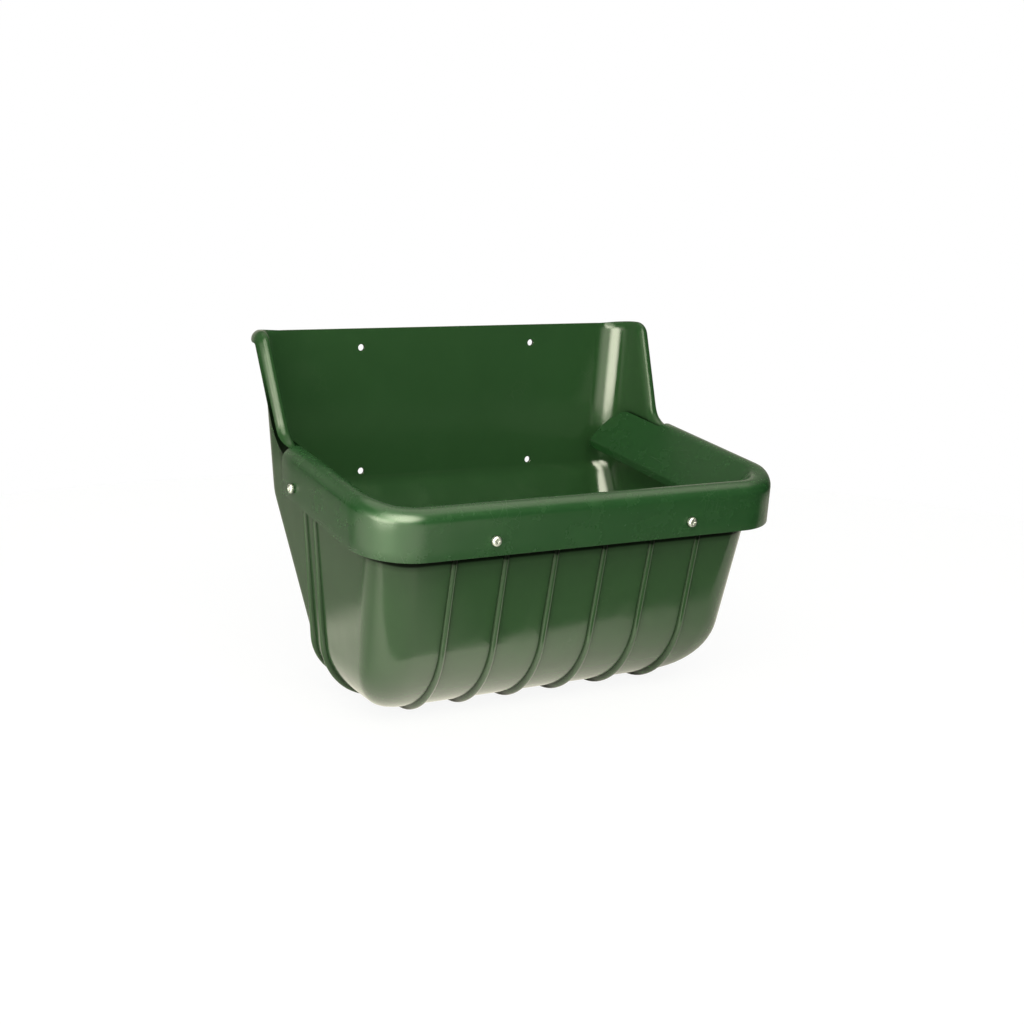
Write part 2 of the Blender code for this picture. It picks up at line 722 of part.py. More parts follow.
def screw_profile():
    """Pan head and shank, from the middle of the head down the outside to the middle of the tip."""
    top = HEAD_SEAT + HEAD_HEIGHT
    head = HEAD_DIAMETER / 2
    shank = THREAD_DIAMETER / 2
    tip = HEAD_SEAT - SCREW_LENGTH
    points = [(0, top)]
    for step in range(HEAD_EDGE_STEPS + 1):
        angle = pi / 2 * (1 - step / HEAD_EDGE_STEPS)
        points.append((head - HEAD_EDGE + HEAD_EDGE * cos(angle), top - HEAD_EDGE + HEAD_EDGE * sin(angle)))
    points += [(head, HEAD_SEAT), (shank, HEAD_SEAT), (shank, tip + THREAD_CHAMFER)]
    return points + [(shank - THREAD_CHAMFER, tip), (0, tip)]


def recess_cutter(name, frame, cutters):
    """Cross that is cut into a screw head."""
    long = RECESS_SPAN / 2
    short = RECESS_WIDTH / 2
    quarter = [Vector((long, -short, 0)), Vector((long, short, 0)), Vector((short, short, 0))]
    outline = []
    for turn in range(CROSS_ARMS):
        spin = Matrix.Rotation(turn * 2 * pi / CROSS_ARMS, 3, "Z")
        outline += [spin @ point for point in quarter]
    floor = HEAD_SEAT + HEAD_HEIGHT - RECESS_DEPTH
    placed = [frame @ (point + Vector((0, 0, floor))) for point in outline]
    along = frame.to_3x3() @ Vector((0, 0, RECESS_DEPTH + CUT_OVERRUN))
    return prism(name, placed, along, cutters)


def washer_profile():
    bore = SCREW_HOLE / 2
    rim = WASHER_DIAMETER / 2
    top = FIT_GAP + WASHER_THICKNESS
    return [(bore, top), (rim, top), (rim, FIT_GAP), (bore, FIT_GAP), (bore, top)]


def nut(name, frame, collection, cutters):
    """Hexagon nut inside the tail of the lip."""
    seat = frame @ Matrix.Translation((0, 0, NUT_SEAT - NUT_THICKNESS / 2))
    corner = NUT_FLATS / 2 / cos(pi / NUT_SIDES)
    work = bmesh.new()
    bmesh.ops.create_cone(
        work,
        cap_ends=True,
        segments=NUT_SIDES,
        radius1=corner,
        radius2=corner,
        depth=NUT_THICKNESS,
        matrix=seat,
    )
    piece = add_mesh(name, work, collection)
    bore = cylinder(f"{name}_bore", SCREW_HOLE, NUT_THICKNESS + CUT_OVERRUN, seat, cutters)
    boolean(piece, bore, "DIFFERENCE")
    return piece


def main():
    for old in list(bpy.data.objects):
        bpy.data.objects.remove(old)
    parts = bpy.data.collections.new("feed_trough")
    cutters = bpy.data.collections.new("cutters")
    bpy.context.scene.collection.children.link(parts)
    bpy.context.scene.collection.children.link(cutters)

    body = body_shell(parts)
    ribs = body_ribs(body, cutters)
    boolean(body, ribs, "UNION")
    rim = guard_rim(parts, cutters)
    for cutter in wall_hole_cutters(cutters):
        boolean(body, cutter, "DIFFERENCE")

    plastic = (body, rim)
    colours = {body: BODY_COLOUR, rim: RIM_COLOUR}
    for piece in plastic:
        piece.data.materials.append(material(f"{piece.name}_plastic", colours[piece], 0, PLASTIC_ROUGHNESS))

    wall = RIM_WALL + BODY_WALL
    fasteners = []
    for name, frame in screw_frames().items():
        middle = frame @ Matrix.Translation((0, 0, -wall / 2))
        hole = cylinder(f"screw_hole_{name}", SCREW_HOLE, wall + CUT_OVERRUN, middle, cutters)
        boolean(body, hole, "DIFFERENCE")
        boolean(rim, hole, "DIFFERENCE")
        screw = turned_piece(f"screw_{name}", screw_profile(), frame, ROUND_SIDES, parts)
        boolean(screw, recess_cutter(f"recess_{name}", frame, cutters), "DIFFERENCE")
        washer = turned_piece(f"washer_{name}", washer_profile(), frame, ROUND_SIDES, parts)
        fasteners += [screw, washer, nut(f"nut_{name}", frame, parts, cutters)]
    for piece in fasteners:
        piece.data.materials.append(material(f"{piece.name}_zinc", ZINC_COLOUR, 1, ZINC_ROUGHNESS))

    for piece in (*plastic, *fasteners):
        smooth(piece, SMOOTH_ANGLE)
    for cutter in cutters.objects:
        cutter.hide_render = True
        cutter.display_type = "WIRE"


main()
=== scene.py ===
"""Looks of a wall feed trough around its packed CAD frame.

Metres, +Z up. The wall is the plane Y = 0 and the origin is the centre of the four wall holes.
Outlines are drawn with the plane of the rim at the front as height zero, and a finished piece is
moved down by RIM_DROP.
"""

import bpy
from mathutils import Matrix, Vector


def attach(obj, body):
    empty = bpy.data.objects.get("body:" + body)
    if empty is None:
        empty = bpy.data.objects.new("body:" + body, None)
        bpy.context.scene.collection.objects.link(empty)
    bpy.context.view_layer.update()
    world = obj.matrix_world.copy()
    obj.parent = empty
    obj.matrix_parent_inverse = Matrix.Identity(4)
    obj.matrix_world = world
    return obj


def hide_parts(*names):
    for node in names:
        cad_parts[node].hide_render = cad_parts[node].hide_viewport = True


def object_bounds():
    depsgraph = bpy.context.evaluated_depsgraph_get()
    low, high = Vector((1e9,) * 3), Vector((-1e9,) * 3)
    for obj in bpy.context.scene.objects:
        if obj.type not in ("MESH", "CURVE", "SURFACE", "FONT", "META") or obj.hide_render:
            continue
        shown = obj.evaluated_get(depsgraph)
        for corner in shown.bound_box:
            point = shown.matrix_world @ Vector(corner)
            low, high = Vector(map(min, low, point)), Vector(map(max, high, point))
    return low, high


bl_info = {
    "name": "Feed trough looks",
    "version": (1, 0, 0),
    "blender": (4, 5, 0),
    "location": "View3D > Sidebar > Feed trough",
    "description": "Models a wall feed trough around its CAD frame and sets up a plain studio",
    "category": "Object",
}

from collections import namedtuple
from functools import partial, reduce
from math import cos, pi, radians, sin, tan

import bmesh
import bpy
from bpy.props import FloatProperty, FloatVectorProperty, PointerProperty
from mathutils import Matrix, Vector
from mathutils.bvhtree import BVHTree

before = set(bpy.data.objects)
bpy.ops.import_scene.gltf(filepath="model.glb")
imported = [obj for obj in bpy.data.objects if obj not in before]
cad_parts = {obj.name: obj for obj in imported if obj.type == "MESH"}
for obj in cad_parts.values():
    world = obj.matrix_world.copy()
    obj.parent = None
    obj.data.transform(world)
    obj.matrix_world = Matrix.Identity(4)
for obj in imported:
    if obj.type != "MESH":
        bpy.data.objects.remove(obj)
CAD_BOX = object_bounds()

# Outlines of the trough, the same as the frame's
RIM_WIDTH = 0.584
TROUGH_DEPTH = 0.414
BOWL_DEPTH = 0.2935
PANEL_HEIGHT = 0.1613
RIM_RISE = 0.047
FRONT_DIP = 0.005
FRONT_DIP_RUN = 0.045
FIT_GAP = 0.0003
CUT_OVERRUN = 0.010
BODY_WALL = 0.004
SIDE_LIP_SPAN = 0.0099
FRONT_LIP_SPAN = 0.006
SIDE_DRAFT = 0.072
FRONT_FOOT = 0.77446 * TROUGH_DEPTH
BACK_FOOT = 0.37133 * TROUGH_DEPTH
KINK_DROP = 0.048
KINK_ROUND = 0.008
BACK_CORNER = 0.038
LOW_CORNER = 0.005
SIDE_BOTTOM_ROUND = 0.072
FRONT_BOTTOM_ROUND = 0.5872 * (FRONT_FOOT - BACK_FOOT)
BACK_BOTTOM_ROUND = 0.2996 * (FRONT_FOOT - BACK_FOOT)
WING_LEAN = 0.408
WING_TOP_RUN = 0.0063
WING_TOP_ROUND = 0.006
WING_FILLET = 0.060
LIP_SPAN_MIN = 0.0077
WING_LIP_RISE = 0.0155
TAIL_EDGE = 0.009
TAIL_RAMP = 0.014
HOLE_SPAN = 0.44863 * RIM_WIDTH
HOLE_RISE = 0.170
HOLE_DIAMETER = 0.009
RIM_DROP = 0.0505
RIM_WALL = 0.003
RIM_ROUND = 0.015
RIM_CORNER = 0.072
SKIRT_HEIGHT = 0.065
SKIRT_DRAFT = 0.05
FLANGE_WIDTH = 0.0395
FLANGE_ANGLE = radians(50)
HEM_HEIGHT = 0.010
CREST_END = 0.143
END_KNEE_PLACE = 0.130
END_KNEE_DROP = 0.022
SKIRT_END = 0.125
FLANGE_SIDE_GAP = 0.004
FLANGE_BACK_GAP = 0.016
FLANGE_CORNER = 0.042
SCREW_SPAN = 0.46575 * RIM_WIDTH
SCREW_DROP = 0.7077 * SKIRT_HEIGHT
SIDE_SCREW_PLACE = 0.167
SCREW_HOLE = 0.0066
SCREW_LENGTH = 0.016
THREAD_DIAMETER = 0.006
HEAD_DIAMETER = 0.012
HEAD_HEIGHT = 0.0038
WASHER_DIAMETER = 0.0125
WASHER_THICKNESS = 0.0016
NUT_FLATS = 0.010
NUT_THICKNESS = 0.005

# Places that follow from the ones above
RIM_SLOPE = RIM_RISE / TROUGH_DEPTH
RIM_HALF = RIM_WIDTH / 2
ROLL_HALF = RIM_HALF - RIM_ROUND
ROLL_FRONT = -(TROUGH_DEPTH - RIM_ROUND)
ROLL_CORNER = RIM_CORNER - RIM_ROUND
LIP_RISE = RIM_ROUND - RIM_WALL - 2 * FIT_GAP
LIP_TAIL = SCREW_DROP + TAIL_EDGE - RIM_ROUND
SIDE_INSET = RIM_ROUND + SIDE_LIP_SPAN
FRONT_INSET = RIM_ROUND + FRONT_LIP_SPAN
FRONT_DRAFT = (TROUGH_DEPTH - FRONT_INSET - FRONT_FOOT) / (BOWL_DEPTH - BODY_WALL)
BACK_SLOPE = (BACK_FOOT - BODY_WALL) / (BOWL_DEPTH - BODY_WALL - KINK_DROP)
FRONT_CORNER = ROLL_CORNER - FRONT_LIP_SPAN - FRONT_DRAFT * (RIM_ROUND + FRONT_DIP)
BOTTOM_INNER = BODY_WALL - BOWL_DEPTH
LIP_TOP_START = PANEL_HEIGHT - LIP_RISE
HEAD_SEAT = WASHER_THICKNESS + 2 * FIT_GAP
HEAD_TOP = HEAD_SEAT + HEAD_HEIGHT
NUT_SEAT = -(RIM_WALL + BODY_WALL + 3 * FIT_GAP)

# Ribs outside the bowl
FRONT_RIB_PITCH = 0.0684
SIDE_RIB_PLACE = 0.1475
SIDE_RIB_PITCH = 0.033
FRONT_RIBS = [side * (index + 0.5) * FRONT_RIB_PITCH for side in (-1, 1) for index in range(3)]
SIDE_RIBS = [(side, -SIDE_RIB_PLACE - SIDE_RIB_PITCH * index) for side in (-1, 1) for index in range(2)]
RIB_ROOT = 0.0034
RIB_START_DROP = 0.052
RIB_BACK_DROP = 0.014

# Small forms of the fasteners
SCREW_EDGE = 0.00012
SHANK_TAPER = 0.8
THREAD_SINK = 0.0003
THREAD_CREST = 0.45
THREAD_WIDTH = 0.9
RECESS_TAPER = 0.55
RECESS_OVERRUN = CUT_OVERRUN / 10
NUT_EDGE = 0.00015

# Steps round each kind of curve
PANEL_STEPS = 8
BACK_CORNER_STEPS = 14
FRONT_CORNER_STEPS = 18
FRONT_STEPS = 8
SIDE_STEPS = 12
BOTTOM_STEPS = 16
WALL_STEPS = 6
KINK_STEPS = 4
UPPER_STEPS = 6
LIP_STEPS = 14
WING_FILLET_STEPS = 14
WING_TOP_STEPS = 5
WING_LINE_STEPS = 6
RIM_ARC_STEPS = 20
RIM_SIDE_STEPS = 6
SKIRT_STEPS = 4
FOLD_STEPS = 5
FLANGE_CORNER_STEPS = 16
RIB_WALL_STEPS = 6
RIB_ROUND_STEPS = 18
ROUND_SIDES = 48
HEAD_ROUND_STEPS = 7
THREAD_STEPS = 24
TABLE_SIDES = 96
START_TRIES = 6
MERGE_DISTANCE = 0.00001
SMOOTH_ANGLE = radians(32)

# Camera of the photograph
IMAGE_SIDE = 1024
FOCAL_PIXELS = 1537.9
SENSOR = 36
CAMERA_PLACE = Vector((-0.945, -1.9348, 0.2977))
CAMERA_YAW = radians(28.59)
CAMERA_PITCH = radians(11.80)
CAMERA_ROLL = radians(1.33)

# Shade in crevices: how open its darkest and its clear places are, and the light left in the darkest
CREVICE_CLOSED = 0.5
CREVICE_OPEN = 0.93
CREVICE_LEVEL = 0.06
CREVICE_SAMPLES = 10

# Shade under the skirt, a fade with a darker line in it: ends as shares of its reach, and light lost
SHADE_FADE_END = 0.57
SHADE_FADE_LOSS = 0.5
SHADE_LINE_START = 0.72
SHADE_LINE_END = 0.6
SHADE_LINE_LOSS = 0.42
SHADE_STRETCH = (0.25, 1, 0)
SHADE_OUTSIDE = 0.02
SHADE_FRONT = (0.06, 0.09)

# Upper edges of the body: the heights where they start, and how much of their way out is upward
UPPER_HEIGHTS = (-0.03, -0.015)
UPPER_SLOPES = (0.1, 0.4)

# Scratches, smudges and the plating
SCRATCH_TURNS = (0.3, 1.9)
SCRATCH_STRETCH = (1, 0.06, 1)
SCRATCH_LINE = 0.02
SCRATCH_PATCH_SCALE = 14.0
SCRATCH_PATCHES = (0.58, 0.72)
SCRATCH_PALENESS = 0.35
SCRATCH_ROUGHNESS = 0.15
SMUDGE_SCALE = 26.0
SMUDGE_PATCHES = (0.5, 0.75)
SMUDGE_ROUGHNESS = 0.10
ZINC_CLOUDS = {"Colour_change": 0.12, "Cloud_scale": 420.0, "Wave_scale": 700.0}
ZINC_CLOUD_ROUGHNESS = 0.2
ZINC_GRAIN_SCALE = 2600.0
ZINC_GRAIN_HEIGHT = 0.00002
TABLE_ROUGHNESS = 0.8

# Parts of the room in a mirror, each with its fades: a direction, and the limits of the fade towards it
ROOM_PARTS = {
    "dim_room": [((0, 0.5, 0.8), 0.3, 0.7)],
    "left_room": [((-0.75, -0.6, -0.25), 0.4, 0.85)],
    "back_room": [((0.35, 0.93, 0), 0.55, 0.95), ((0, 0, -1), -0.6, -0.25)],
    "ceiling": [((0.15, 0, 0.99), 0.74, 0.92)],
}
ROOM_GLOWS = {
    "key_glow": [((-0.30, -0.72, 0.63), 0.82, 0.975)],
    "left_glow": [((-0.857, -0.515, 0.02), 0.885, 0.997)],
}
LIT_SIDE = ((-0.3, -0.6, 0.74), -0.7, 0.8)

# Parts of the table's painted glow in a mirror, with limits as distances from the middle of the wall
TABLE_PARTS = {
    "table_glint": [((-0.75, -0.66, 0), 0.5, 0.95)],
    "table_left": [((-1, 0, 0), 0.0, 0.16), ((0, -1, 0), 0.0, 0.3)],
    "back_room": [((0, 1, 0), -0.1, 0.1)],
    "table_dim": [((-1, 0, 0), -0.9, -0.4)],
    "sheet_left": [((-1, 0, 0), -0.4, 0.15)],
    "sheet_shade": [((0, 1, 0), -0.4, -0.22), ((-1, 0, 0), -0.5, -0.3)],
}
SHEET_FRONT_WAY = (0.1, 0.995, 0)
SHEET_BACK_FADE = 9

# Lamps: direction from the trough, size and brightness. They point at the height LAMP_TARGET
KEY_LAMP = ((-0.31, -0.71, 0.63), (1.9, 1.0), 3.1)
LEFT_LAMP = ((-0.90, -0.42, 0.12), (1.5, 1.1), 2.3)
LAMP_TARGET = -0.1
LAMP_REACH = 2.2

Column = namedtuple("Column", "kind share start lift roll rise tail")


# Shape of the trough


def blend(low, high, share):
    return low + (high - low) * share


def even(low, high, steps):
    """Even steps from one value to another, with both ends."""
    return [blend(low, high, step / steps) for step in range(steps + 1)]


def ease(share):
    """Share that starts and ends level, held between 0 and 1."""
    share = min(max(share, 0), 1)
    return share * share * (3 - 2 * share)


def rim_plane(y):
    """Height at a place y of the sloping plane that the rim follows."""
    return RIM_SLOPE * (y + TROUGH_DEPTH)


def crest_height(y):
    """Height of the rim's crest at a place y. The crest dips below the plane at the front."""
    return rim_plane(y) - FRONT_DIP * ease((ROLL_FRONT + FRONT_DIP_RUN - y) / FRONT_DIP_RUN)


def half_width(z):
    """Inner face of the side wall, as a distance from the middle plane."""
    return RIM_HALF - SIDE_INSET + SIDE_DRAFT * z


def front_face(z):
    """Inner face of the front wall."""
    return -(TROUGH_DEPTH - FRONT_INSET) - FRONT_DRAFT * min(z, 0)


def back_face(z):
    """Inner face of the back: plumb down to the kink, then sloping forward."""
    below = -KINK_DROP - z
    if below <= -KINK_ROUND:
        run = 0
    elif below < KINK_ROUND:
        run = (below + KINK_ROUND) ** 2 / (4 * KINK_ROUND)
    else:
        run = below
    return -BODY_WALL - BACK_SLOPE * run


def outline_point(kind, share, z, turn):
    """Inner face of one column at height z. The turn is the angle through the bottom rounding."""
    sink = 1 - cos(turn)
    half = half_width(z) - SIDE_BOTTOM_ROUND * sink
    front = front_face(z) + FRONT_BOTTOM_ROUND * sink
    back = back_face(z) - BACK_BOTTOM_ROUND * sink
    back_radius = blend(BACK_CORNER, LOW_CORNER, sink)
    front_radius = blend(FRONT_CORNER, LOW_CORNER, sink)
    back_centre = Vector((half - back_radius, back - back_radius, z))
    front_centre = Vector((half - front_radius, front + front_radius, z))
    if kind == "panel":
        return Vector((blend(0, half - back_radius, share), back, z))
    if kind == "back_corner":
        return back_centre + back_radius * outward(kind, share)
    if kind == "side":
        return Vector((half, blend(back - back_radius, front + front_radius, share), z))
    if kind == "front_corner":
        return front_centre + front_radius * outward(kind, share)
    return Vector((blend(half - front_radius, 0, share), front, z))


def outward(kind, share):
    """Level direction out of the bowl at a column."""
    angle = share * pi / 2
    directions = {
        "panel": (0, 1, 0),
        "back_corner": (sin(angle), cos(angle), 0),
        "side": (1, 0, 0),
        "front_corner": (cos(angle), -sin(angle), 0),
        "front": (0, -1, 0),
    }
    return Vector(directions[kind])


def roll_centre(kind, share, start):
    """Middle of the lip's roll: under the crest of the rim, and at the side of the wings."""
    if kind == "front_corner":
        centre = Vector((ROLL_HALF - ROLL_CORNER, ROLL_FRONT + ROLL_CORNER, 0))
        return centre + ROLL_CORNER * outward(kind, share)
    if kind == "front":
        return Vector((blend(ROLL_HALF - ROLL_CORNER, 0, share), ROLL_FRONT, 0))
    span = max(ROLL_HALF - start.x, LIP_SPAN_MIN) if kind == "side" else LIP_SPAN_MIN
    return start + span * outward(kind, share)


def bottom_round(kind, share):
    """Height of the bottom rounding at a column."""
    mix = sin(share * pi / 2) ** 2
    heights = {
        "panel": BACK_BOTTOM_ROUND,
        "back_corner": blend(BACK_BOTTOM_ROUND, SIDE_BOTTOM_ROUND, mix),
        "side": SIDE_BOTTOM_ROUND,
        "front_corner": blend(SIDE_BOTTOM_ROUND, FRONT_BOTTOM_ROUND, mix),
        "front": FRONT_BOTTOM_ROUND,
    }
    return heights[kind]


def fillet(corner, before, after, radius, steps):
    """Arc that rounds the corner between two unit directions, as places with the direction at each."""
    side = Vector((-before.y, before.x))
    if side.dot(after) < 0:
        side = -side
    turn = before.angle(after)
    start = corner - before * radius * tan(turn / 2)
    arc = []
    for angle in even(0, turn, steps):
        place = start + radius * (sin(angle) * before + (1 - cos(angle)) * side)
        arc.append((place, cos(angle) * before + sin(angle) * side))
    return arc


def wing_edge():
    """Line where the lip starts on a wing, seen from the side, from the rim up to the panel top."""
    along_rim = Vector((1, RIM_SLOPE)).normalized()
    up_wing = Vector((WING_LEAN, 1)).normalized()
    top = Vector((-(BODY_WALL + BACK_CORNER + WING_TOP_RUN), LIP_TOP_START))
    climb = top.y - crest_height(top.x) + RIM_ROUND
    foot = top - Vector((WING_LEAN, 1)) * climb / (1 - RIM_SLOPE * WING_LEAN)
    low_arc = fillet(foot, along_rim, up_wing, WING_FILLET, WING_FILLET_STEPS)
    high_arc = fillet(top, up_wing, Vector((1, 0)), WING_TOP_ROUND, WING_TOP_STEPS)
    low, high = low_arc[-1][0], high_arc[0][0]
    line = [(low.lerp(high, share), up_wing) for share in even(0, 1, WING_LINE_STEPS)[1:-1]]
    return low_arc + line + high_arc


def rim_start(kind, share):
    """Height on the inner face, under the rim, where the lip starts to roll."""
    z = 0
    for _ in range(START_TRIES):
        z = crest_height(outline_point(kind, share, z, 0).y) - RIM_ROUND
    return z


def half_columns():
    """Columns of the right half of the body, from the middle of the panel to the middle of the front."""
    plumb = Vector((0, 0, 1))
    columns = []
    for share in even(0, 1, PANEL_STEPS)[:-1]:
        columns.append(Column("panel", share, LIP_TOP_START, plumb, 0, LIP_RISE, 0))
    for share in even(0, 1, BACK_CORNER_STEPS):
        rise = blend(LIP_RISE, WING_LIP_RISE, ease(share))
        columns.append(Column("back_corner", share, LIP_TOP_START, plumb, pi * ease(share), rise, 0))
    back_end = back_face(0) - BACK_CORNER
    front_start = front_face(0) + FRONT_CORNER
    edge = wing_edge()
    for index, (place, way) in reversed(list(enumerate(edge))):
        share = (place.x - back_end) / (front_start - back_end)
        rise = blend(LIP_RISE, WING_LIP_RISE, ease(2 * index / WING_FILLET_STEPS - 1))
        columns.append(Column("side", share, place.y, Vector((0, -way.y, way.x)), pi, rise, 0))
    ramp_end = edge[0][0].x - TAIL_RAMP
    first = (ramp_end - back_end) / (front_start - back_end)
    under_rim = [("side", share) for share in even(first, 1, SIDE_STEPS)[:-1]]
    under_rim += [("front_corner", share) for share in even(0, 1, FRONT_CORNER_STEPS)]
    under_rim += [("front", share) for share in even(0, 1, FRONT_STEPS)[1:]]
    for kind, share in under_rim:
        columns.append(Column(kind, share, rim_start(kind, share), None, pi, LIP_RISE, LIP_TAIL))
    return columns


def lip_points(column, start):
    """Top face of the rolled lip of one column, from its start on the wall to the end of its tail."""
    centre = roll_centre(column.kind, column.share, start)
    centre.z = start.z
    out = outward(column.kind, column.share)
    stretch = 1 / sin(min(column.roll, pi / 2)) if column.roll else 0
    points = []
    for share in even(0, 1, LIP_STEPS if column.tail else LIP_STEPS + 1)[1:]:
        angle = column.roll * share
        rise = column.rise * (stretch * sin(angle) if column.roll else share)
        run = stretch * min(1 - cos(angle), 1)
        point = start + (centre - start) * run + out * LIP_RISE * max(-cos(angle), 0)
        if column.lift is None:
            point.z = crest_height(point.y) - RIM_ROUND + rise
        else:
            point.z = start.z
            point += column.lift * rise
        points.append(point)
    if column.tail:
        tail_end = points[-1] - out * SKIRT_DRAFT * column.tail
        tail_end.z = crest_height(tail_end.y) - RIM_ROUND - column.tail
        points.append(tail_end)
    return points


def column_points(column):
    """Inner face of the body in one column, from the bottom to the end of the lip."""
    kind, share = column.kind, column.share
    height = bottom_round(kind, share)
    points = []
    for turn in even(pi / 2, 0, BOTTOM_STEPS):
        z = BOTTOM_INNER + height * (1 - sin(turn))
        points.append(outline_point(kind, share, z, turn))
    kink_low, kink_high = -KINK_DROP - KINK_ROUND, -KINK_DROP + KINK_ROUND
    levels = even(BOTTOM_INNER + height, kink_low, WALL_STEPS)[1:]
    levels += even(kink_low, kink_high, KINK_STEPS)[1:] + even(kink_high, column.start, UPPER_STEPS)[1:]
    points += [outline_point(kind, share, z, 0) for z in levels]
    return points + lip_points(column, points[-1])


def rim_section(fold_round):
    """Outer face of the rim across the roll, as distance from the middle of the roll and height."""
    skirt_low = SKIRT_HEIGHT - RIM_ROUND
    foot = Vector((RIM_ROUND - SKIRT_DRAFT * skirt_low, -skirt_low))
    shoulder = Vector((RIM_ROUND, 0))
    points = [foot.lerp(shoulder, share) for share in even(0, 1, SKIRT_STEPS)[:-1]]
    for angle in even(0, pi / 2 + FLANGE_ANGLE, RIM_ARC_STEPS):
        points.append(RIM_ROUND * Vector((cos(angle), sin(angle))))
    slope = Vector((-cos(FLANGE_ANGLE), -sin(FLANGE_ANGLE)))
    fold = points[-1] + slope * FLANGE_WIDTH / cos(FLANGE_ANGLE)
    points += [place for place, _ in fillet(fold, slope, Vector((0, -1)), fold_round, FOLD_STEPS)]
    points.append(fold - Vector((0, HEM_HEIGHT)))
    return points


def screw_frames():
    """Seat of each rim screw on the skirt, with its Z axis out of the skirt."""
    inset = SKIRT_DRAFT * (SCREW_DROP - RIM_ROUND)
    front = -TROUGH_DEPTH + inset
    lean = SKIRT_DRAFT * RIM_SLOPE
    seats = {}
    for name, side in (("left", -1), ("right", 1)):
        seats[f"front_{name}"] = (side * SCREW_SPAN / 2, front, (0, -1 + lean, -SKIRT_DRAFT))
    for name, side in (("left", -1), ("right", 1)):
        seats[name] = (side * (RIM_HALF - inset), -SIDE_SCREW_PLACE, (side, lean, -SKIRT_DRAFT))
    frames = {}
    for name, (x, y, out) in seats.items():
        turn = Vector(out).to_track_quat("Z", "Y").to_matrix().to_4x4()
        frames[name] = Matrix.Translation((x, y, rim_plane(y) - SCREW_DROP)) @ turn
    return frames


# Modelling by hand


def start_piece():
    if bpy.context.object and bpy.context.object.mode != "OBJECT":
        bpy.ops.object.mode_set(mode="OBJECT")
    bpy.ops.object.select_all(action="DESELECT")


def activate(piece):
    start_piece()
    piece.select_set(True)
    bpy.context.view_layer.objects.active = piece


def added(name):
    """The object that a primitive operator has just added, named."""
    piece = bpy.context.object
    piece.name = name
    piece.data.name = name
    return piece


def edit(piece):
    activate(piece)
    bpy.ops.object.mode_set(mode="EDIT")


def leave():
    bpy.ops.object.mode_set(mode="OBJECT")


def pick(piece, kind, test):
    """Select the vertices, edges or faces of a piece in edit mode that pass a test."""
    bpy.ops.mesh.select_mode(type=kind)
    bpy.ops.mesh.select_all(action="DESELECT")
    work = bmesh.from_edit_mesh(piece.data)
    for element in {"VERT": work.verts, "EDGE": work.edges, "FACE": work.faces}[kind]:
        if test(element):
            element.select_set(True)
    work.select_flush_mode()
    bmesh.update_edit_mesh(piece.data)


def draw_out(move):
    bpy.ops.mesh.extrude_region_move(TRANSFORM_OT_translate={"value": tuple(move)})


def weld():
    bpy.ops.mesh.select_all(action="SELECT")
    bpy.ops.mesh.remove_doubles(threshold=MERGE_DISTANCE)


def turn_faces_out():
    bpy.ops.mesh.select_all(action="SELECT")
    bpy.ops.mesh.normals_make_consistent(inside=False)


def modifier(piece, kind, **settings):
    """Add a modifier and apply it."""
    activate(piece)
    made = piece.modifiers.new(kind.lower(), kind)
    for key, value in settings.items():
        setattr(made, key, value)
    bpy.ops.object.modifier_apply(modifier=made.name)


def round_edges(piece, width, segments, degrees):
    """Round the edges that turn by more than an angle."""
    limit = {"limit_method": "ANGLE", "angle_limit": radians(degrees)}
    modifier(piece, "BEVEL", width=width, segments=segments, **limit)


def combine(piece, other, operation):
    """Join or cut a piece with another object, and delete that object."""
    modifier(piece, "BOOLEAN", object=other, operation=operation, solver="EXACT")
    bpy.data.objects.remove(other)


def risen(height):
    return Matrix.Translation((0, 0, height))


def move_mesh(piece, matrix):
    piece.data.transform(matrix)
    piece.data.update()


def block(name, outline, along):
    """Closed block: a flat round primitive put on an outline, then extruded."""
    start_piece()
    bpy.ops.mesh.primitive_circle_add(vertices=len(outline), radius=1, fill_type="NGON")
    piece = added(name)
    for vert, point in zip(piece.data.vertices, outline):
        vert.co = point
    edit(piece)
    bpy.ops.mesh.select_all(action="SELECT")
    draw_out(along)
    turn_faces_out()
    leave()
    return piece


def rod(name, diameter, length, seat, sides=ROUND_SIDES):
    """Bar about the Z axis of a seat, with its middle at the seat's origin."""
    start_piece()
    bpy.ops.mesh.primitive_cylinder_add(vertices=sides, radius=diameter / 2, depth=length)
    piece = added(name)
    move_mesh(piece, seat)
    return piece


def drill(piece, diameter, depth, seat):
    """Round hole about the Z axis of a seat, out beyond both ends of its depth."""
    combine(piece, rod("drill", diameter, depth + CUT_OVERRUN, seat), "DIFFERENCE")


def drill_screw_holes(piece):
    wall = RIM_WALL + BODY_WALL
    for seat in screw_frames().values():
        drill(piece, SCREW_HOLE, wall, seat @ risen(-wall / 2))


def grid_sheet(name, rows):
    """Grid primitive whose vertices are put on rows of points."""
    start_piece()
    across, along = len(rows) - 1, len(rows[0]) - 1
    bpy.ops.mesh.primitive_grid_add(x_subdivisions=across, y_subdivisions=along, size=1)
    piece = added(name)
    for vert in piece.data.vertices:
        row = rows[round((vert.co.x + 0.5) * across)]
        vert.co = row[round((vert.co.y + 0.5) * along)]
    return piece


def finish_piece(piece, node_names, finish):
    """Stand a finished piece in for its CAD nodes."""
    activate(piece)
    bpy.ops.object.shade_smooth_by_angle(angle=SMOOTH_ANGLE)
    piece.data.materials.clear()
    piece.data.materials.append(finish)
    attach(piece, "root")
    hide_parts(*node_names)


# Moulded body


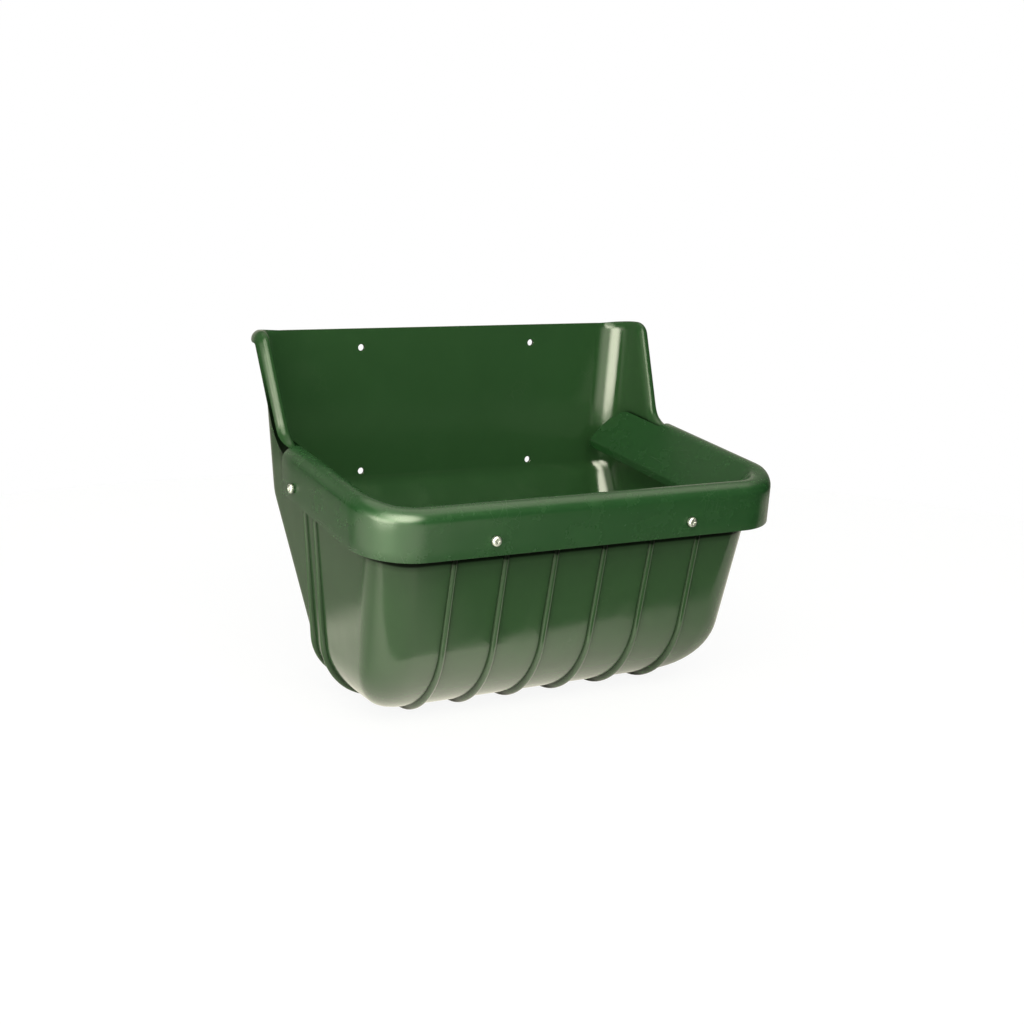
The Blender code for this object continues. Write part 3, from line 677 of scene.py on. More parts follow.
def body_shell(sizes):
    """Half of the inner face on a grid, mirrored, given its wall and its rounded border."""
    shell = grid_sheet("moulded_body", [column_points(column) for column in half_columns()])
    floor = BOTTOM_INNER + MERGE_DISTANCE
    edit(shell)
    pick(shell, "VERT", lambda vert: vert.co.z < floor)
    bpy.ops.mesh.edge_face_add()
    weld()
    turn_faces_out()
    work = bmesh.from_edit_mesh(shell.data)
    if min(work.faces, key=lambda face: face.calc_center_median().z).normal.z > 0:
        bpy.ops.mesh.flip_normals()
    leave()
    modifier(shell, "MIRROR", use_clip=True, merge_threshold=MERGE_DISTANCE)
    modifier(shell, "SOLIDIFY", thickness=BODY_WALL, offset=1, use_even_offset=True)
    round_edges(shell, sizes.border_round, 3, 60)
    return shell


def rib_rays_front(x):
    """Rays in a plane across the trough: down the front, round the bottom and up the sloping back."""
    low = BOTTOM_INNER + FRONT_BOTTOM_ROUND
    back_low = BOTTOM_INNER + BACK_BOTTOM_ROUND
    back_high = -KINK_DROP - KINK_ROUND - RIB_BACK_DROP
    front = front_face(BOTTOM_INNER) + FRONT_BOTTOM_ROUND
    middle = (front + back_face(BOTTOM_INNER) - BACK_BOTTOM_ROUND) / 2
    rays = [(z, 0) for z in even(-RIB_START_DROP, low, RIB_WALL_STEPS)[:-1]]
    rays += [(low, angle) for angle in even(0, pi / 2, RIB_ROUND_STEPS)]
    rays += [(back_low, angle) for angle in even(pi / 2, pi, RIB_ROUND_STEPS)[1:]]
    rays += [(z, pi) for z in even(back_low, back_high, RIB_WALL_STEPS - 1)[1:]]
    return [(Vector((x, middle, z)), Vector((0, -cos(angle), -sin(angle)))) for z, angle in rays]


def rib_rays_side(side, y):
    """Rays in a plane along the wall: down one side and round to the bottom."""
    low = BOTTOM_INNER + SIDE_BOTTOM_ROUND
    inner = side * (half_width(low) - SIDE_BOTTOM_ROUND)
    rays = [(z, 0) for z in even(crest_height(y) - RIB_START_DROP, low, RIB_WALL_STEPS)[:-1]]
    rays += [(low, angle) for angle in even(0, pi / 2, RIB_ROUND_STEPS)[:-1]]
    return [(Vector((inner, y, z)), Vector((side * cos(angle), 0, -sin(angle)))) for z, angle in rays]


def rib_band(name, tree, rays, across, sizes):
    """One band on the outside of the bowl, with sloping flanks and a rounded back."""
    high = rays[0][0].z
    reach = high + BOWL_DEPTH
    rows = []
    for origin, direction in rays:
        inner = tree.ray_cast(origin, direction)[0]
        outer = tree.ray_cast(inner + direction * BODY_WALL / 2, direction)[0]
        height = blend(sizes.rib_top_height, sizes.rib_foot_height, (high - outer.z) / reach)
        root = outer - direction * RIB_ROOT
        back = outer + direction * height
        back_side = across * sizes.rib_width / 2
        root_side = back_side + across * sizes.rib_slope * (height + RIB_ROOT)
        loop = [root - root_side, back - back_side, back + back_side, root + root_side]
        rows.append(loop + loop[:1])
    band = grid_sheet(name, rows)
    edit(band)
    weld()
    bpy.ops.mesh.fill_holes(sides=4)
    turn_faces_out()
    leave()
    round_edges(band, sizes.rib_round, 4, 40)
    return band


def add_ribs(shell, sizes):
    corners = [vert.co for vert in shell.data.vertices]
    tree = BVHTree.FromPolygons(corners, [face.vertices for face in shell.data.polygons])
    across, along = Vector((1, 0, 0)), Vector((0, 1, 0))
    bands = [rib_band("front_rib", tree, rib_rays_front(x), across, sizes) for x in FRONT_RIBS]
    bands += [rib_band("side_rib", tree, rib_rays_side(*place), along, sizes) for place in SIDE_RIBS]
    activate(bands[0])
    for band in bands:
        band.select_set(True)
    bpy.ops.object.join()
    combine(shell, bands[0], "UNION")


def drill_wall_holes(shell, sizes):
    """Four holes in the panel, with a small chamfer at both mouths."""
    centres = []
    for side in (-1, 1):
        for level in (-1, 1):
            centre = Vector((side * HOLE_SPAN / 2, -BODY_WALL / 2, RIM_DROP + level * HOLE_RISE / 2))
            seat = Matrix.Translation(centre) @ Matrix.Rotation(pi / 2, 4, "X")
            drill(shell, HOLE_DIAMETER, BODY_WALL, seat)
            centres.append(centre)

    def at_mouth(edge):
        if abs(edge.verts[0].co.y - edge.verts[1].co.y) >= MERGE_DISTANCE:
            return False
        for centre in centres:
            spans = [(vert.co - centre) * Vector((1, 0, 1)) for vert in edge.verts]
            if all(abs(span.length - HOLE_DIAMETER / 2) < MERGE_DISTANCE * 2 for span in spans):
                return True
        return False

    edit(shell)
    pick(shell, "EDGE", at_mouth)
    bpy.ops.mesh.bevel(offset=sizes.hole_chamfer, segments=1, affect="EDGES")
    leave()


def model_body(sizes):
    shell = body_shell(sizes)
    add_ribs(shell, sizes)
    drill_wall_holes(shell, sizes)
    drill_screw_holes(shell)
    move_mesh(shell, risen(-RIM_DROP))
    return shell


# Guard rim


def rim_sheet(sizes):
    """Section extruded from a point, drawn along the front, round the corner and along the side."""
    section = rim_section(sizes.fold_round)
    start_piece()
    bpy.ops.mesh.primitive_plane_add(size=0.01)
    rim = added("guard_rim_shell")
    edit(rim)
    bpy.ops.mesh.select_mode(type="VERT")
    bpy.ops.mesh.select_all(action="SELECT")
    bpy.ops.mesh.merge(type="CENTER")
    bpy.ops.transform.translate(value=(0, ROLL_FRONT - section[0].x, section[0].y))
    for near, far in zip(section, section[1:]):
        draw_out((0, near.x - far.x, far.y - near.y))
    bpy.ops.mesh.select_all(action="SELECT")
    straight = ROLL_HALF - ROLL_CORNER
    run = -(ROLL_FRONT + ROLL_CORNER)
    for _ in range(FRONT_STEPS):
        draw_out((straight / FRONT_STEPS, 0, 0))
    centre = (straight, -run, 0)
    bpy.ops.mesh.spin(steps=FRONT_CORNER_STEPS, angle=-pi / 2, center=centre, axis=(0, 0, 1))
    for _ in range(RIM_SIDE_STEPS):
        draw_out((0, run / RIM_SIDE_STEPS, 0))
    weld()
    turn_faces_out()
    work = bmesh.from_edit_mesh(rim.data)
    if max(work.faces, key=lambda face: face.calc_center_median().z).normal.z < 0:
        bpy.ops.mesh.flip_normals()
    leave()
    foot = RIM_ROUND - SKIRT_HEIGHT
    for vert in rim.data.vertices:
        dip = rim_plane(vert.co.y) - crest_height(vert.co.y)
        share = ease((vert.co.z - foot) / -foot)
        vert.co.z += rim_plane(vert.co.y) - dip * share - RIM_ROUND
    modifier(rim, "MIRROR", use_clip=True, merge_threshold=MERGE_DISTANCE)
    return rim


def cut_rim_ends(rim):
    """End the skirt in front of each wing, and round the back of the flange inside it."""
    reach = RIM_HALF + CUT_OVERRUN
    edge = half_width(RIM_RISE) - FLANGE_SIDE_GAP
    back = back_face(0) - FLANGE_BACK_GAP
    low = -SKIRT_HEIGHT - CUT_OVERRUN
    high = RIM_RISE + CUT_OVERRUN
    end_line = [
        (-CREST_END, crest_height(-CREST_END) + CUT_OVERRUN),
        (-CREST_END, crest_height(-CREST_END)),
        (-END_KNEE_PLACE, crest_height(-END_KNEE_PLACE) - END_KNEE_DROP),
        (-SKIRT_END, low),
        (CUT_OVERRUN, low),
        (CUT_OVERRUN, high + CUT_OVERRUN),
    ]
    far, beyond = reach + CUT_OVERRUN, CUT_OVERRUN * 2
    x, y = edge - FLANGE_CORNER, back - FLANGE_CORNER
    plan = []
    for angle in even(0, pi / 2, FLANGE_CORNER_STEPS):
        plan.append((x + FLANGE_CORNER * cos(angle), y + FLANGE_CORNER * sin(angle)))
    plan += [(0, back), (0, beyond), (far, beyond), (far, y)]
    for side in (-1, 1):
        ends = [Vector((side * edge, y, z)) for y, z in end_line]
        combine(rim, block("end_cut", ends, (side * (reach - edge), 0, 0)), "DIFFERENCE")
        corner = [Vector((side * x, y, low - CUT_OVERRUN)) for x, y in plan]
        combine(rim, block("end_cut", corner, (0, 0, high - low + CUT_OVERRUN * 3)), "DIFFERENCE")


def model_rim(sizes):
    rim = rim_sheet(sizes)
    modifier(rim, "SOLIDIFY", thickness=RIM_WALL, offset=-1, use_even_offset=True)
    cut_rim_ends(rim)
    round_edges(rim, sizes.edge_round, 3, 50)
    drill_screw_holes(rim)
    move_mesh(rim, risen(-RIM_DROP))
    return rim


# Screws, washers and nuts


def model_screw(sizes):
    """Pan head machine screw on the Z axis: domed head, cross recess, shank with its thread."""
    screw = rod("pan_head_screw", HEAD_DIAMETER, HEAD_HEIGHT, risen(HEAD_SEAT + HEAD_HEIGHT / 2))
    edit(screw)
    pick(screw, "FACE", lambda face: abs(face.calc_center_median().z - HEAD_SEAT) < MERGE_DISTANCE)
    bpy.ops.mesh.inset(thickness=(HEAD_DIAMETER - sizes.core_diameter) / 2)
    draw_out((0, 0, -SCREW_LENGTH))
    bpy.ops.transform.resize(value=(SHANK_TAPER, SHANK_TAPER, 1))
    pick(screw, "EDGE", lambda edge: all(vert.co.z > HEAD_TOP - MERGE_DISTANCE for vert in edge.verts))
    bpy.ops.mesh.bevel(offset=sizes.head_round, segments=HEAD_ROUND_STEPS, affect="EDGES")
    leave()
    combine(screw, cross_recess(sizes), "DIFFERENCE")
    combine(screw, screw_thread(sizes), "UNION")
    round_edges(screw, SCREW_EDGE, 2, 50)
    return screw


def screw_thread(sizes):
    """Triangle on edge wound about the Z axis, as a closed ridge."""
    pitch = sizes.thread_pitch
    turns = int((SCREW_LENGTH - 2 * pitch) / pitch)
    steps = THREAD_STEPS * turns
    low = HEAD_SEAT - SCREW_LENGTH + pitch
    root = sizes.core_diameter / 2 - THREAD_SINK
    start_piece()
    bpy.ops.mesh.primitive_circle_add(vertices=3, radius=pitch / 2, fill_type="NOTHING")
    ridge = added("thread")
    crest = (THREAD_DIAMETER / 2, low + pitch * THREAD_CREST)
    outline = ((root, low), crest, (root, low + pitch * THREAD_WIDTH))
    for vert, (radius, height) in zip(ridge.data.vertices, outline):
        vert.co = (radius, 0, height)
    wound = {"angle": 2 * pi * turns, "screw_offset": pitch * turns, "use_merge_vertices": False}
    modifier(ridge, "SCREW", steps=steps, render_steps=steps, **wound)
    edit(ridge)
    bpy.ops.mesh.select_mode(type="EDGE")
    bpy.ops.mesh.select_all(action="DESELECT")
    bpy.ops.mesh.select_non_manifold()
    bpy.ops.mesh.fill()
    turn_faces_out()
    leave()
    return ridge


def cross_recess(sizes):
    """Cross with tapering arms: the sides of a small cube drawn out, and its foot drawn in."""
    arm, depth = sizes.recess_width, sizes.recess_depth
    start_piece()
    bpy.ops.mesh.primitive_cube_add(size=1)
    cross = added("recess")
    place = risen(HEAD_TOP - depth / 2 + RECESS_OVERRUN / 2)
    move_mesh(cross, place @ Matrix.Diagonal((arm, arm, depth + RECESS_OVERRUN, 1)))
    edit(cross)
    pick(cross, "FACE", lambda face: abs(face.normal.z) < 0.5)
    reach = (sizes.recess_span - arm) / 2
    bpy.ops.mesh.extrude_faces_move(TRANSFORM_OT_shrink_fatten={"value": reach})
    pick(cross, "FACE", lambda face: face.normal.z < -0.5)
    bpy.ops.transform.resize(value=(RECESS_TAPER, RECESS_TAPER, 1), center_override=(0, 0, 0))
    turn_faces_out()
    leave()
    return cross


def model_washer(sizes):
    """Flat ring: a disc, bored, with its edges broken."""
    middle = risen(FIT_GAP + WASHER_THICKNESS / 2)
    washer = rod("flat_washer", WASHER_DIAMETER, WASHER_THICKNESS, middle)
    drill(washer, SCREW_HOLE, WASHER_THICKNESS, risen(0))
    round_edges(washer, sizes.washer_round, 3, 50)
    return washer


def model_nut(sizes):
    """Six-sided bar with its corners turned off by a drum, and a bore."""
    corners = NUT_FLATS / cos(pi / 6)
    nut = rod("hexagon_nut", corners, NUT_THICKNESS, risen(0), 6)
    drum = rod("drum", corners, NUT_THICKNESS, risen(0))
    edit(drum)
    pick(drum, "FACE", lambda face: abs(face.normal.z) > 0.5)
    bpy.ops.mesh.bevel(offset=sizes.nut_chamfer, segments=1, affect="EDGES")
    leave()
    combine(nut, drum, "INTERSECT")
    drill(nut, SCREW_HOLE, NUT_THICKNESS, risen(0))
    round_edges(nut, NUT_EDGE, 2, 40)
    move_mesh(nut, risen(NUT_SEAT - NUT_THICKNESS / 2))
    return nut


def add_fasteners(scene, kind, build, colour):
    """Model a fastener and put a copy at each of the four seats, with its own mesh."""
    model = build(scene.trough_fastener_sizes)
    finish = zinc_finish(f"{kind}_zinc", colour, scene.trough_finish)
    for name, seat in screw_frames().items():
        copy = model.copy()
        copy.data = model.data.copy()
        copy.name = f"{kind}_{name}_detail"
        copy.data.name = copy.name
        bpy.context.scene.collection.objects.link(copy)
        move_mesh(copy, risen(-RIM_DROP) @ seat)
        finish_piece(copy, [f"{kind}_{name}"], finish)
    bpy.data.objects.remove(model)


# Finishes


def fill_inputs(made, **inputs):
    """Set a node's inputs, by name or number, each to a value or to the socket that feeds it."""
    for key, value in inputs.items():
        socket = made.inputs[int(key[1:])] if key[1:].isdigit() else made.inputs[key.replace("_", " ")]
        if isinstance(value, bpy.types.NodeSocket):
            made.id_data.links.new(value, socket)
        else:
            socket.default_value = value
    return made


def add_node(tree, kind, settings=None, **inputs):
    made = tree.nodes.new("ShaderNode" + kind)
    for key, value in (settings or {}).items():
        setattr(made, key, value)
    return fill_inputs(made, **inputs)


def maths(operation, first, second):
    """Maths on two values, of which one or both are sockets."""
    tree = (first if isinstance(first, bpy.types.NodeSocket) else second).id_data
    return add_node(tree, "Math", {"operation": operation}, _0=first, _1=second).outputs[0]


def product(*factors):
    return reduce(partial(maths, "MULTIPLY"), factors)


def total(*terms):
    return reduce(partial(maths, "ADD"), terms)


def highest(*values):
    return reduce(partial(maths, "MAXIMUM"), values)


def fade(value, low, high, start=0.0, end=1.0, kind="LINEAR"):
    """The value between two limits, mapped to a share from start to end."""
    ends = {"From_Min": low, "From_Max": high, "To_Min": start, "To_Max": end}
    made = add_node(value.id_data, "MapRange", {"interpolation_type": kind}, Value=value, **ends)
    return made.outputs[0]


def dot(way, direction):
    made = add_node(way.id_data, "VectorMath", {"operation": "DOT_PRODUCT"}, _0=way, _1=direction)
    return made.outputs["Value"]


def facing(way, direction, low, high):
    """Smooth share that is 0 away from a direction and 1 towards it."""
    return fade(dot(way, direction), low, high, kind="SMOOTHSTEP")


def scaled_colour(colour, share):
    made = add_node(colour.id_data, "VectorMath", {"operation": "SCALE"}, _0=colour, Scale=share)
    return made.outputs[0]


def mixed(share, first, second):
    made = add_node(share.id_data, "Mix", {"data_type": "FLOAT"}, _0=share, _2=first, _3=second)
    return made.outputs[0]


def mixed_colour(share, first, second):
    made = add_node(share.id_data, "Mix", {"data_type": "RGBA"}, _0=share, _6=first, _7=second)
    return made.outputs[2]


def bump(height, distance, **inputs):
    made = add_node(height.id_data, "Bump", Height=height, Strength=1.0, Distance=distance, **inputs)
    return made.outputs[0]


def cells(place, feature, scale):
    made = add_node(place.id_data, "TexVoronoi", {"feature": feature}, Vector=place, Scale=scale)
    return made.outputs["Distance"]


def noise(place, scale, **inputs):
    return add_node(place.id_data, "TexNoise", Vector=place, Scale=scale, **inputs).outputs["Fac"]


def object_place(tree):
    return add_node(tree, "TexCoord").outputs["Object"]


def new_group(name, inputs, outputs):
    """Shader node group with named sockets, and its input sockets and output node."""
    tree = bpy.data.node_groups.new(name, "ShaderNodeTree")
    for label, (kind, value) in inputs.items():
        socket = tree.interface.new_socket(label, in_out="INPUT", socket_type="NodeSocket" + kind)
        socket.default_value = value
    for label, kind in outputs.items():
        tree.interface.new_socket(label, in_out="OUTPUT", socket_type="NodeSocket" + kind)
    return tree, tree.nodes.new("NodeGroupInput").outputs, tree.nodes.new("NodeGroupOutput")


def moulding_flow_group(name):
    """Cloudy colour of pigment in moulded plastic, with its slow waves as a height."""
    tree, entry, result = new_group(
        name,
        {
            "Colour": ("Color", (0.02, 0.07, 0.02, 1)),
            "Colour change": ("Float", 0.1),
            "Cloud scale": ("Float", 9.0),
            "Wave scale": ("Float", 22.0),
        },
        {"Colour": "Color", "Cloud": "Float", "Wave": "Float"},
    )
    place = object_place(tree)
    cloud = noise(place, entry["Cloud scale"], Detail=4.0, Distortion=0.6)
    wave = noise(place, entry["Wave scale"], Detail=1.0, Roughness=0.4)
    shade = total(product(maths("SUBTRACT", cloud, 0.5), entry["Colour change"], 2.0), 1.0)
    fill_inputs(result, Colour=scaled_colour(entry["Colour"], shade), Cloud=cloud, Wave=wave)
    return tree


def fine_grain_group(name):
    """Fine pebble of a moulded or plated surface, as a height."""
    tree, entry, result = new_group(name, {"Scale": ("Float", 900.0)}, {"Height": "Float"})
    fill_inputs(result, Height=cells(object_place(tree), "SMOOTH_F1", entry["Scale"]))
    return tree


def scuff_group(name):
    """Sparse short scratches and smudges, as masks."""
    tree, entry, result = new_group(
        name,
        {"Scratch scale": ("Float", 60.0), "Amount": ("Float", 0.5)},
        {"Scratches": "Float", "Smudges": "Float"},
    )
    place = object_place(tree)
    lines = []
    for turn in SCRATCH_TURNS:
        rotation = (turn, turn * 0.7, turn * 1.3)
        turned = add_node(tree, "Mapping", Vector=place, Rotation=rotation, Scale=SCRATCH_STRETCH)
        cell = cells(turned.outputs[0], "DISTANCE_TO_EDGE", entry["Scratch scale"])
        lines.append(fade(cell, 0.0, SCRATCH_LINE, 1.0, 0.0))
    patch = fade(noise(place, SCRATCH_PATCH_SCALE, Detail=3.0), *SCRATCH_PATCHES)
    blot = noise(place, SMUDGE_SCALE, Detail=5.0, Roughness=0.65)
    scratches = product(highest(*lines), patch, entry["Amount"])
    fill_inputs(result, Scratches=scratches, Smudges=fade(blot, *SMUDGE_PATCHES))
    return tree


EFFECTS = {"moulding flow": moulding_flow_group, "fine grain": fine_grain_group, "scuffs": scuff_group}


def use_effect(tree, name, **inputs):
    """Place a shared effect, which is built once, with this material's own values."""
    made = tree.nodes.new("ShaderNodeGroup")
    made.node_tree = bpy.data.node_groups.get(name) or EFFECTS[name](name)
    return fill_inputs(made, **inputs).outputs


def new_material(name):
    made = bpy.data.materials.new(name)
    made.use_nodes = True
    return made, made.node_tree, made.node_tree.nodes["Principled BSDF"]


def painted_crevice_shade(tree, reach):
    """Painted shade in crevices, from ambient occlusion: 1 on open surfaces, small in crevices."""
    near = add_node(tree, "AmbientOcclusion", {"samples": CREVICE_SAMPLES}, Distance=reach)
    return fade(near.outputs["AO"], CREVICE_CLOSED, CREVICE_OPEN, CREVICE_LEVEL)


def outside_painted_skirt_shadow(tree, reach):
    """Painted shadow of the skirt: 1 away from the rim, small on the outside of the bowl close under the
    skirt's lower edge.
    """
    place = object_place(tree)
    dip = facing(place, (0, -1, 0), -ROLL_FRONT - FRONT_DIP_RUN, -ROLL_FRONT)
    level = total(dot(place, (0, -RIM_SLOPE, 1)), product(dip, FRONT_DIP))
    foot = RIM_SLOPE * TROUGH_DEPTH - RIM_DROP - SKIRT_HEIGHT
    spread = {"_1": SHADE_STRETCH, "_2": (0, TROUGH_DEPTH / 2, 0)}
    middle = add_node(tree, "VectorMath", {"operation": "MULTIPLY_ADD"}, _0=place, **spread).outputs[0]
    away = dot(middle, add_node(tree, "NewGeometry").outputs["Normal"])
    outside = maths("GREATER_THAN", away, SHADE_OUTSIDE)
    outside = product(outside, facing(place, (0, -1, 0), *SHADE_FRONT))
    limits = [foot - reach * share for share in (1, SHADE_FADE_END, SHADE_LINE_START, SHADE_LINE_END)]
    shade = fade(level, *limits[:2])
    line = fade(level, *limits[2:], kind="SMOOTHSTEP")
    dark = total(product(shade, SHADE_FADE_LOSS), product(line, SHADE_LINE_LOSS))
    return maths("SUBTRACT", 1.0, product(dark, outside))


def upper_edges(tree):
    """1 on the rolled edges of the wings and on the panel's top edge, 0 elsewhere."""
    normal = add_node(tree, "NewGeometry").outputs["Normal"]
    above_rim = facing(object_place(tree), (0, 0, 1), *UPPER_HEIGHTS)
    return product(facing(normal, (0, 0, 1), *UPPER_SLOPES), above_rim)


def plastic_finish(name, colour, roughness, ribbed, finish):
    """Satin moulded polyethylene: pigment clouds, slow waves, fine grain, light scuffs, and on the
    ribbed body painted shade in crevices and under the skirt.
    """
    made, tree, shader = new_material(name)
    flow = use_effect(tree, "moulding flow", Colour=(*colour, 1), Colour_change=finish.colour_change)
    scuffs = use_effect(tree, "scuffs", Amount=finish.scuff_amount)
    grain = use_effect(tree, "fine grain")
    scratches, smudges = scuffs["Scratches"], scuffs["Smudges"]
    scratched = product(scratches, SCRATCH_PALENESS)
    worn_and_shaded = mixed_colour(scratched, flow["Colour"], (*finish.scratch_colour, 1))
    # On the ribbed body, painted shade in crevices and a painted shadow under the skirt darken the
    # colour and the gloss
    if ribbed:
        clear = product(painted_crevice_shade(tree, finish.crevice_shade_reach), outside_painted_skirt_shadow(tree, finish.rim_shade))
        worn_and_shaded = scaled_colour(worn_and_shaded, clear)
        gloss = maths("SUBTRACT", 0.5, product(upper_edges(tree), finish.edge_dulling))
        fill_inputs(shader, Specular_IOR_Level=product(clear, gloss))
    rough = total(product(smudges, SMUDGE_ROUGHNESS), product(scratches, SCRATCH_ROUGHNESS), roughness)
    waves = bump(flow["Wave"], finish.wave_height)
    pebble = bump(grain["Height"], finish.grain_height, Normal=waves)
    fill_inputs(shader, Base_Color=worn_and_shaded, Roughness=rough, Normal=pebble)
    return made


def zinc_finish(name, colour, finish):
    """Bright zinc plating on steel, slightly cloudy."""
    made, tree, shader = new_material(name)
    flow = use_effect(tree, "moulding flow", Colour=(*colour, 1), **ZINC_CLOUDS)
    grain = use_effect(tree, "fine grain", Scale=ZINC_GRAIN_SCALE)
    rough = total(product(flow["Cloud"], ZINC_CLOUD_ROUGHNESS), finish.zinc_roughness)
    pebble = bump(grain["Height"], ZINC_GRAIN_HEIGHT)
    fill_inputs(shader, Metallic=1, Base_Color=flow["Colour"], Roughness=rough, Normal=pebble)
    return made


# Studio


def new_object(name, data):
    made = bpy.data.objects.new(name, data)
    bpy.context.scene.collection.objects.link(made)
    return made


def soft_light(name, direction, span, brightness, colour):
    """Area lamp seen from the trough in a given direction. Its mirror image is the world's soft glow."""
    middle = Vector((0, -TROUGH_DEPTH / 2, LAMP_TARGET))
    place = middle + Vector(direction).normalized() * LAMP_REACH
    data = bpy.data.lights.new(name, "AREA")
    data.shape = "RECTANGLE"
    data.size, data.size_y = span
    data.energy = brightness * pi * span[0] * span[1]
    data.color = colour
    lamp = new_object(name, data)
    lamp.location = place
    lamp.rotation_euler = (middle - place).to_track_quat("-Z", "Y").to_euler()
    lamp.visible_camera = False
    lamp.visible_glossy = False


def make_camera():
    level = Vector((cos(CAMERA_YAW), -sin(CAMERA_YAW), 0))
    look = Vector((sin(CAMERA_YAW), cos(CAMERA_YAW), 0)) * cos(CAMERA_PITCH)
    look.z = -sin(CAMERA_PITCH)
    upright = level.cross(look)
    right = cos(CAMERA_ROLL) * level + sin(CAMERA_ROLL) * upright
    up = cos(CAMERA_ROLL) * upright - sin(CAMERA_ROLL) * level
    data = bpy.data.cameras.new("photo_camera")
    data.sensor_width = SENSOR
    data.lens = FOCAL_PIXELS / IMAGE_SIDE * SENSOR
    camera = new_object("photo_camera", data)
    placed = Matrix((right, up, -look)).transposed().to_4x4()
    placed.translation = CAMERA_PLACE
    camera.matrix_world = placed
    bpy.context.scene.camera = camera


def lit_parts(way, parts, stage):
    """Brightness of each part of the surroundings, with its soft limits."""
    lit = {}
    for name, fades in parts.items():
        lit[name] = product(*[facing(way, *limits) for limits in fades], getattr(stage, name))
    return lit


def mirror_ray(path):
    return highest(path["Is Glossy Ray"], path["Is Transmission Ray"])


def make_world(stage):
    """White for what the camera sees, a plain room for diffuse light, and its pale parts for gloss."""
    world = bpy.data.worlds.new("studio")
    world.use_nodes = True
    bpy.context.scene.world = world
    tree = world.node_tree
    way = add_node(tree, "TexCoord").outputs["Generated"]
    path = add_node(tree, "LightPath").outputs
    glows = product(
        total(*lit_parts(way, ROOM_GLOWS, stage).values()), maths("LESS_THAN", path["Glossy Depth"], 1.5)
    )
    room = total(*lit_parts(way, ROOM_PARTS, stage).values(), glows)
    soft = total(product(facing(way, *LIT_SIDE), stage.ambient - stage.shade), stage.shade)
    mirror = mirror_ray(path)
    strength = mixed(path["Is Camera Ray"], mixed(mirror, soft, room), 1.0)
    tint = mixed_colour(mirror, (*stage.sky_tint, 1), (*stage.lamp_tint, 1))
    tint = mixed_colour(path["Is Camera Ray"], tint, (1, 1, 1, 1))
    fill_inputs(tree.nodes["Background"], Strength=strength, Color=tint)


def mirrored_table(place, stage):
    """Brightness of the table's painted glow in a mirror: a white sheet with a painted shadow of the
    bowl on it, glints on the left, and the rest.
    """
    part = lit_parts(place, TABLE_PARTS, stage)
    edge = stage.sheet_softness
    front = facing(place, SHEET_FRONT_WAY, stage.sheet_front - edge, stage.sheet_front + edge)
    edge *= SHEET_BACK_FADE
    back = facing(place, (0, -1, 0), -stage.sheet_back - edge, -stage.sheet_back + edge)
    level = total(part["sheet_left"], stage.sheet_level)
    sheet = product(front, back, level, maths("SUBTRACT", 1.0, part["sheet_shade"]))
    bright = highest(part["table_glint"], part["table_left"], sheet)
    return total(bright, highest(part["back_room"], part["table_dim"]))


def make_floor(stage):
    """Round pale table that keeps a soft shadow, with a painted glow on it that only gloss shows: a
    white sheet, glints, and a painted shadow of the bowl.
    """
    start_piece()
    bpy.ops.mesh.primitive_circle_add(vertices=TABLE_SIDES, radius=1, fill_type="NGON")
    floor = added("pale_table")
    centre = Matrix.Translation((0, -TROUGH_DEPTH / 2, CAD_BOX[0].z - stage.table_drop))
    move_mesh(floor, centre @ Matrix.Scale(stage.table_radius, 4))
    made, tree, shader = new_material("pale_table_top")
    path = add_node(tree, "LightPath").outputs
    camera = path["Is Camera Ray"]
    bounced = mixed_colour(path["Is Diffuse Ray"], (*stage.table_colour, 1), (*stage.table_bounce, 1))
    fill_inputs(shader, Base_Color=bounced, Roughness=TABLE_ROUGHNESS)
    # Painted glow: in mirrors the table gives off light by its place; the camera sees white
    strength = mixed(camera, mirrored_table(object_place(tree), stage), stage.table_white)
    tint = mixed_colour(camera, (*stage.lamp_tint, 1), (1, 1, 1, 1))
    glow = add_node(tree, "Emission", Color=tint, Strength=strength).outputs[0]
    share = highest(mirror_ray(path), product(camera, stage.table_glow))
    surface = add_node(tree, "MixShader", _0=share, _1=shader.outputs[0], _2=glow).outputs[0]
    fill_inputs(tree.nodes["Material Output"], Surface=surface)
    floor.data.materials.append(made)


# Add-on


def length(name, text, default, least=0.0):
    metres = {"precision": 5, "unit": "LENGTH", "subtype": "DISTANCE"}
    return FloatProperty(name=name, description=text, default=default, min=least, **metres)


def share_of(name, text, default, top=1.0):
    return FloatProperty(name=name, description=text, default=default, min=0, max=top, subtype="FACTOR")


def gloss_of(name, text, default, top=4.0):
    return share_of(name, text + ", in a mirror", default, top)


def colour_of(name, text, default):
    return FloatVectorProperty(
        name=name, description=text, default=default, min=0, max=1, size=3, subtype="COLOR"
    )


class TroughBodySizes(bpy.types.PropertyGroup):
    """Small forms of the moulded body"""

    border_round: length("Border rounding", "Rounding of the body's free edge", 0.0014)
    hole_chamfer: length("Hole chamfer", "Chamfer at the mouths of the wall holes", 0.0003)
    rib_width: length("Rib width", "Width of the back of a band on the outside of the bowl", 0.0052)
    rib_slope: share_of("Rib slope", "Spread of a band's flank for its height", 0.35)
    rib_round: length("Rib rounding", "Rounding along a band's edges", 0.0024)
    rib_top_height: length("Rib height at the top", "How far a band stands out under the rim", 0.003)
    rib_foot_height: length("Rib height at the foot", "How far a band stands out under the bowl", 0.006)


class TroughRimSizes(bpy.types.PropertyGroup):
    """Small forms of the guard rim"""

    edge_round: length("Edge rounding", "Rounding of the rim's edges", 0.0013)
    fold_round: length("Fold rounding", "Rounding between the flange and its turned-down hem", 0.0045)


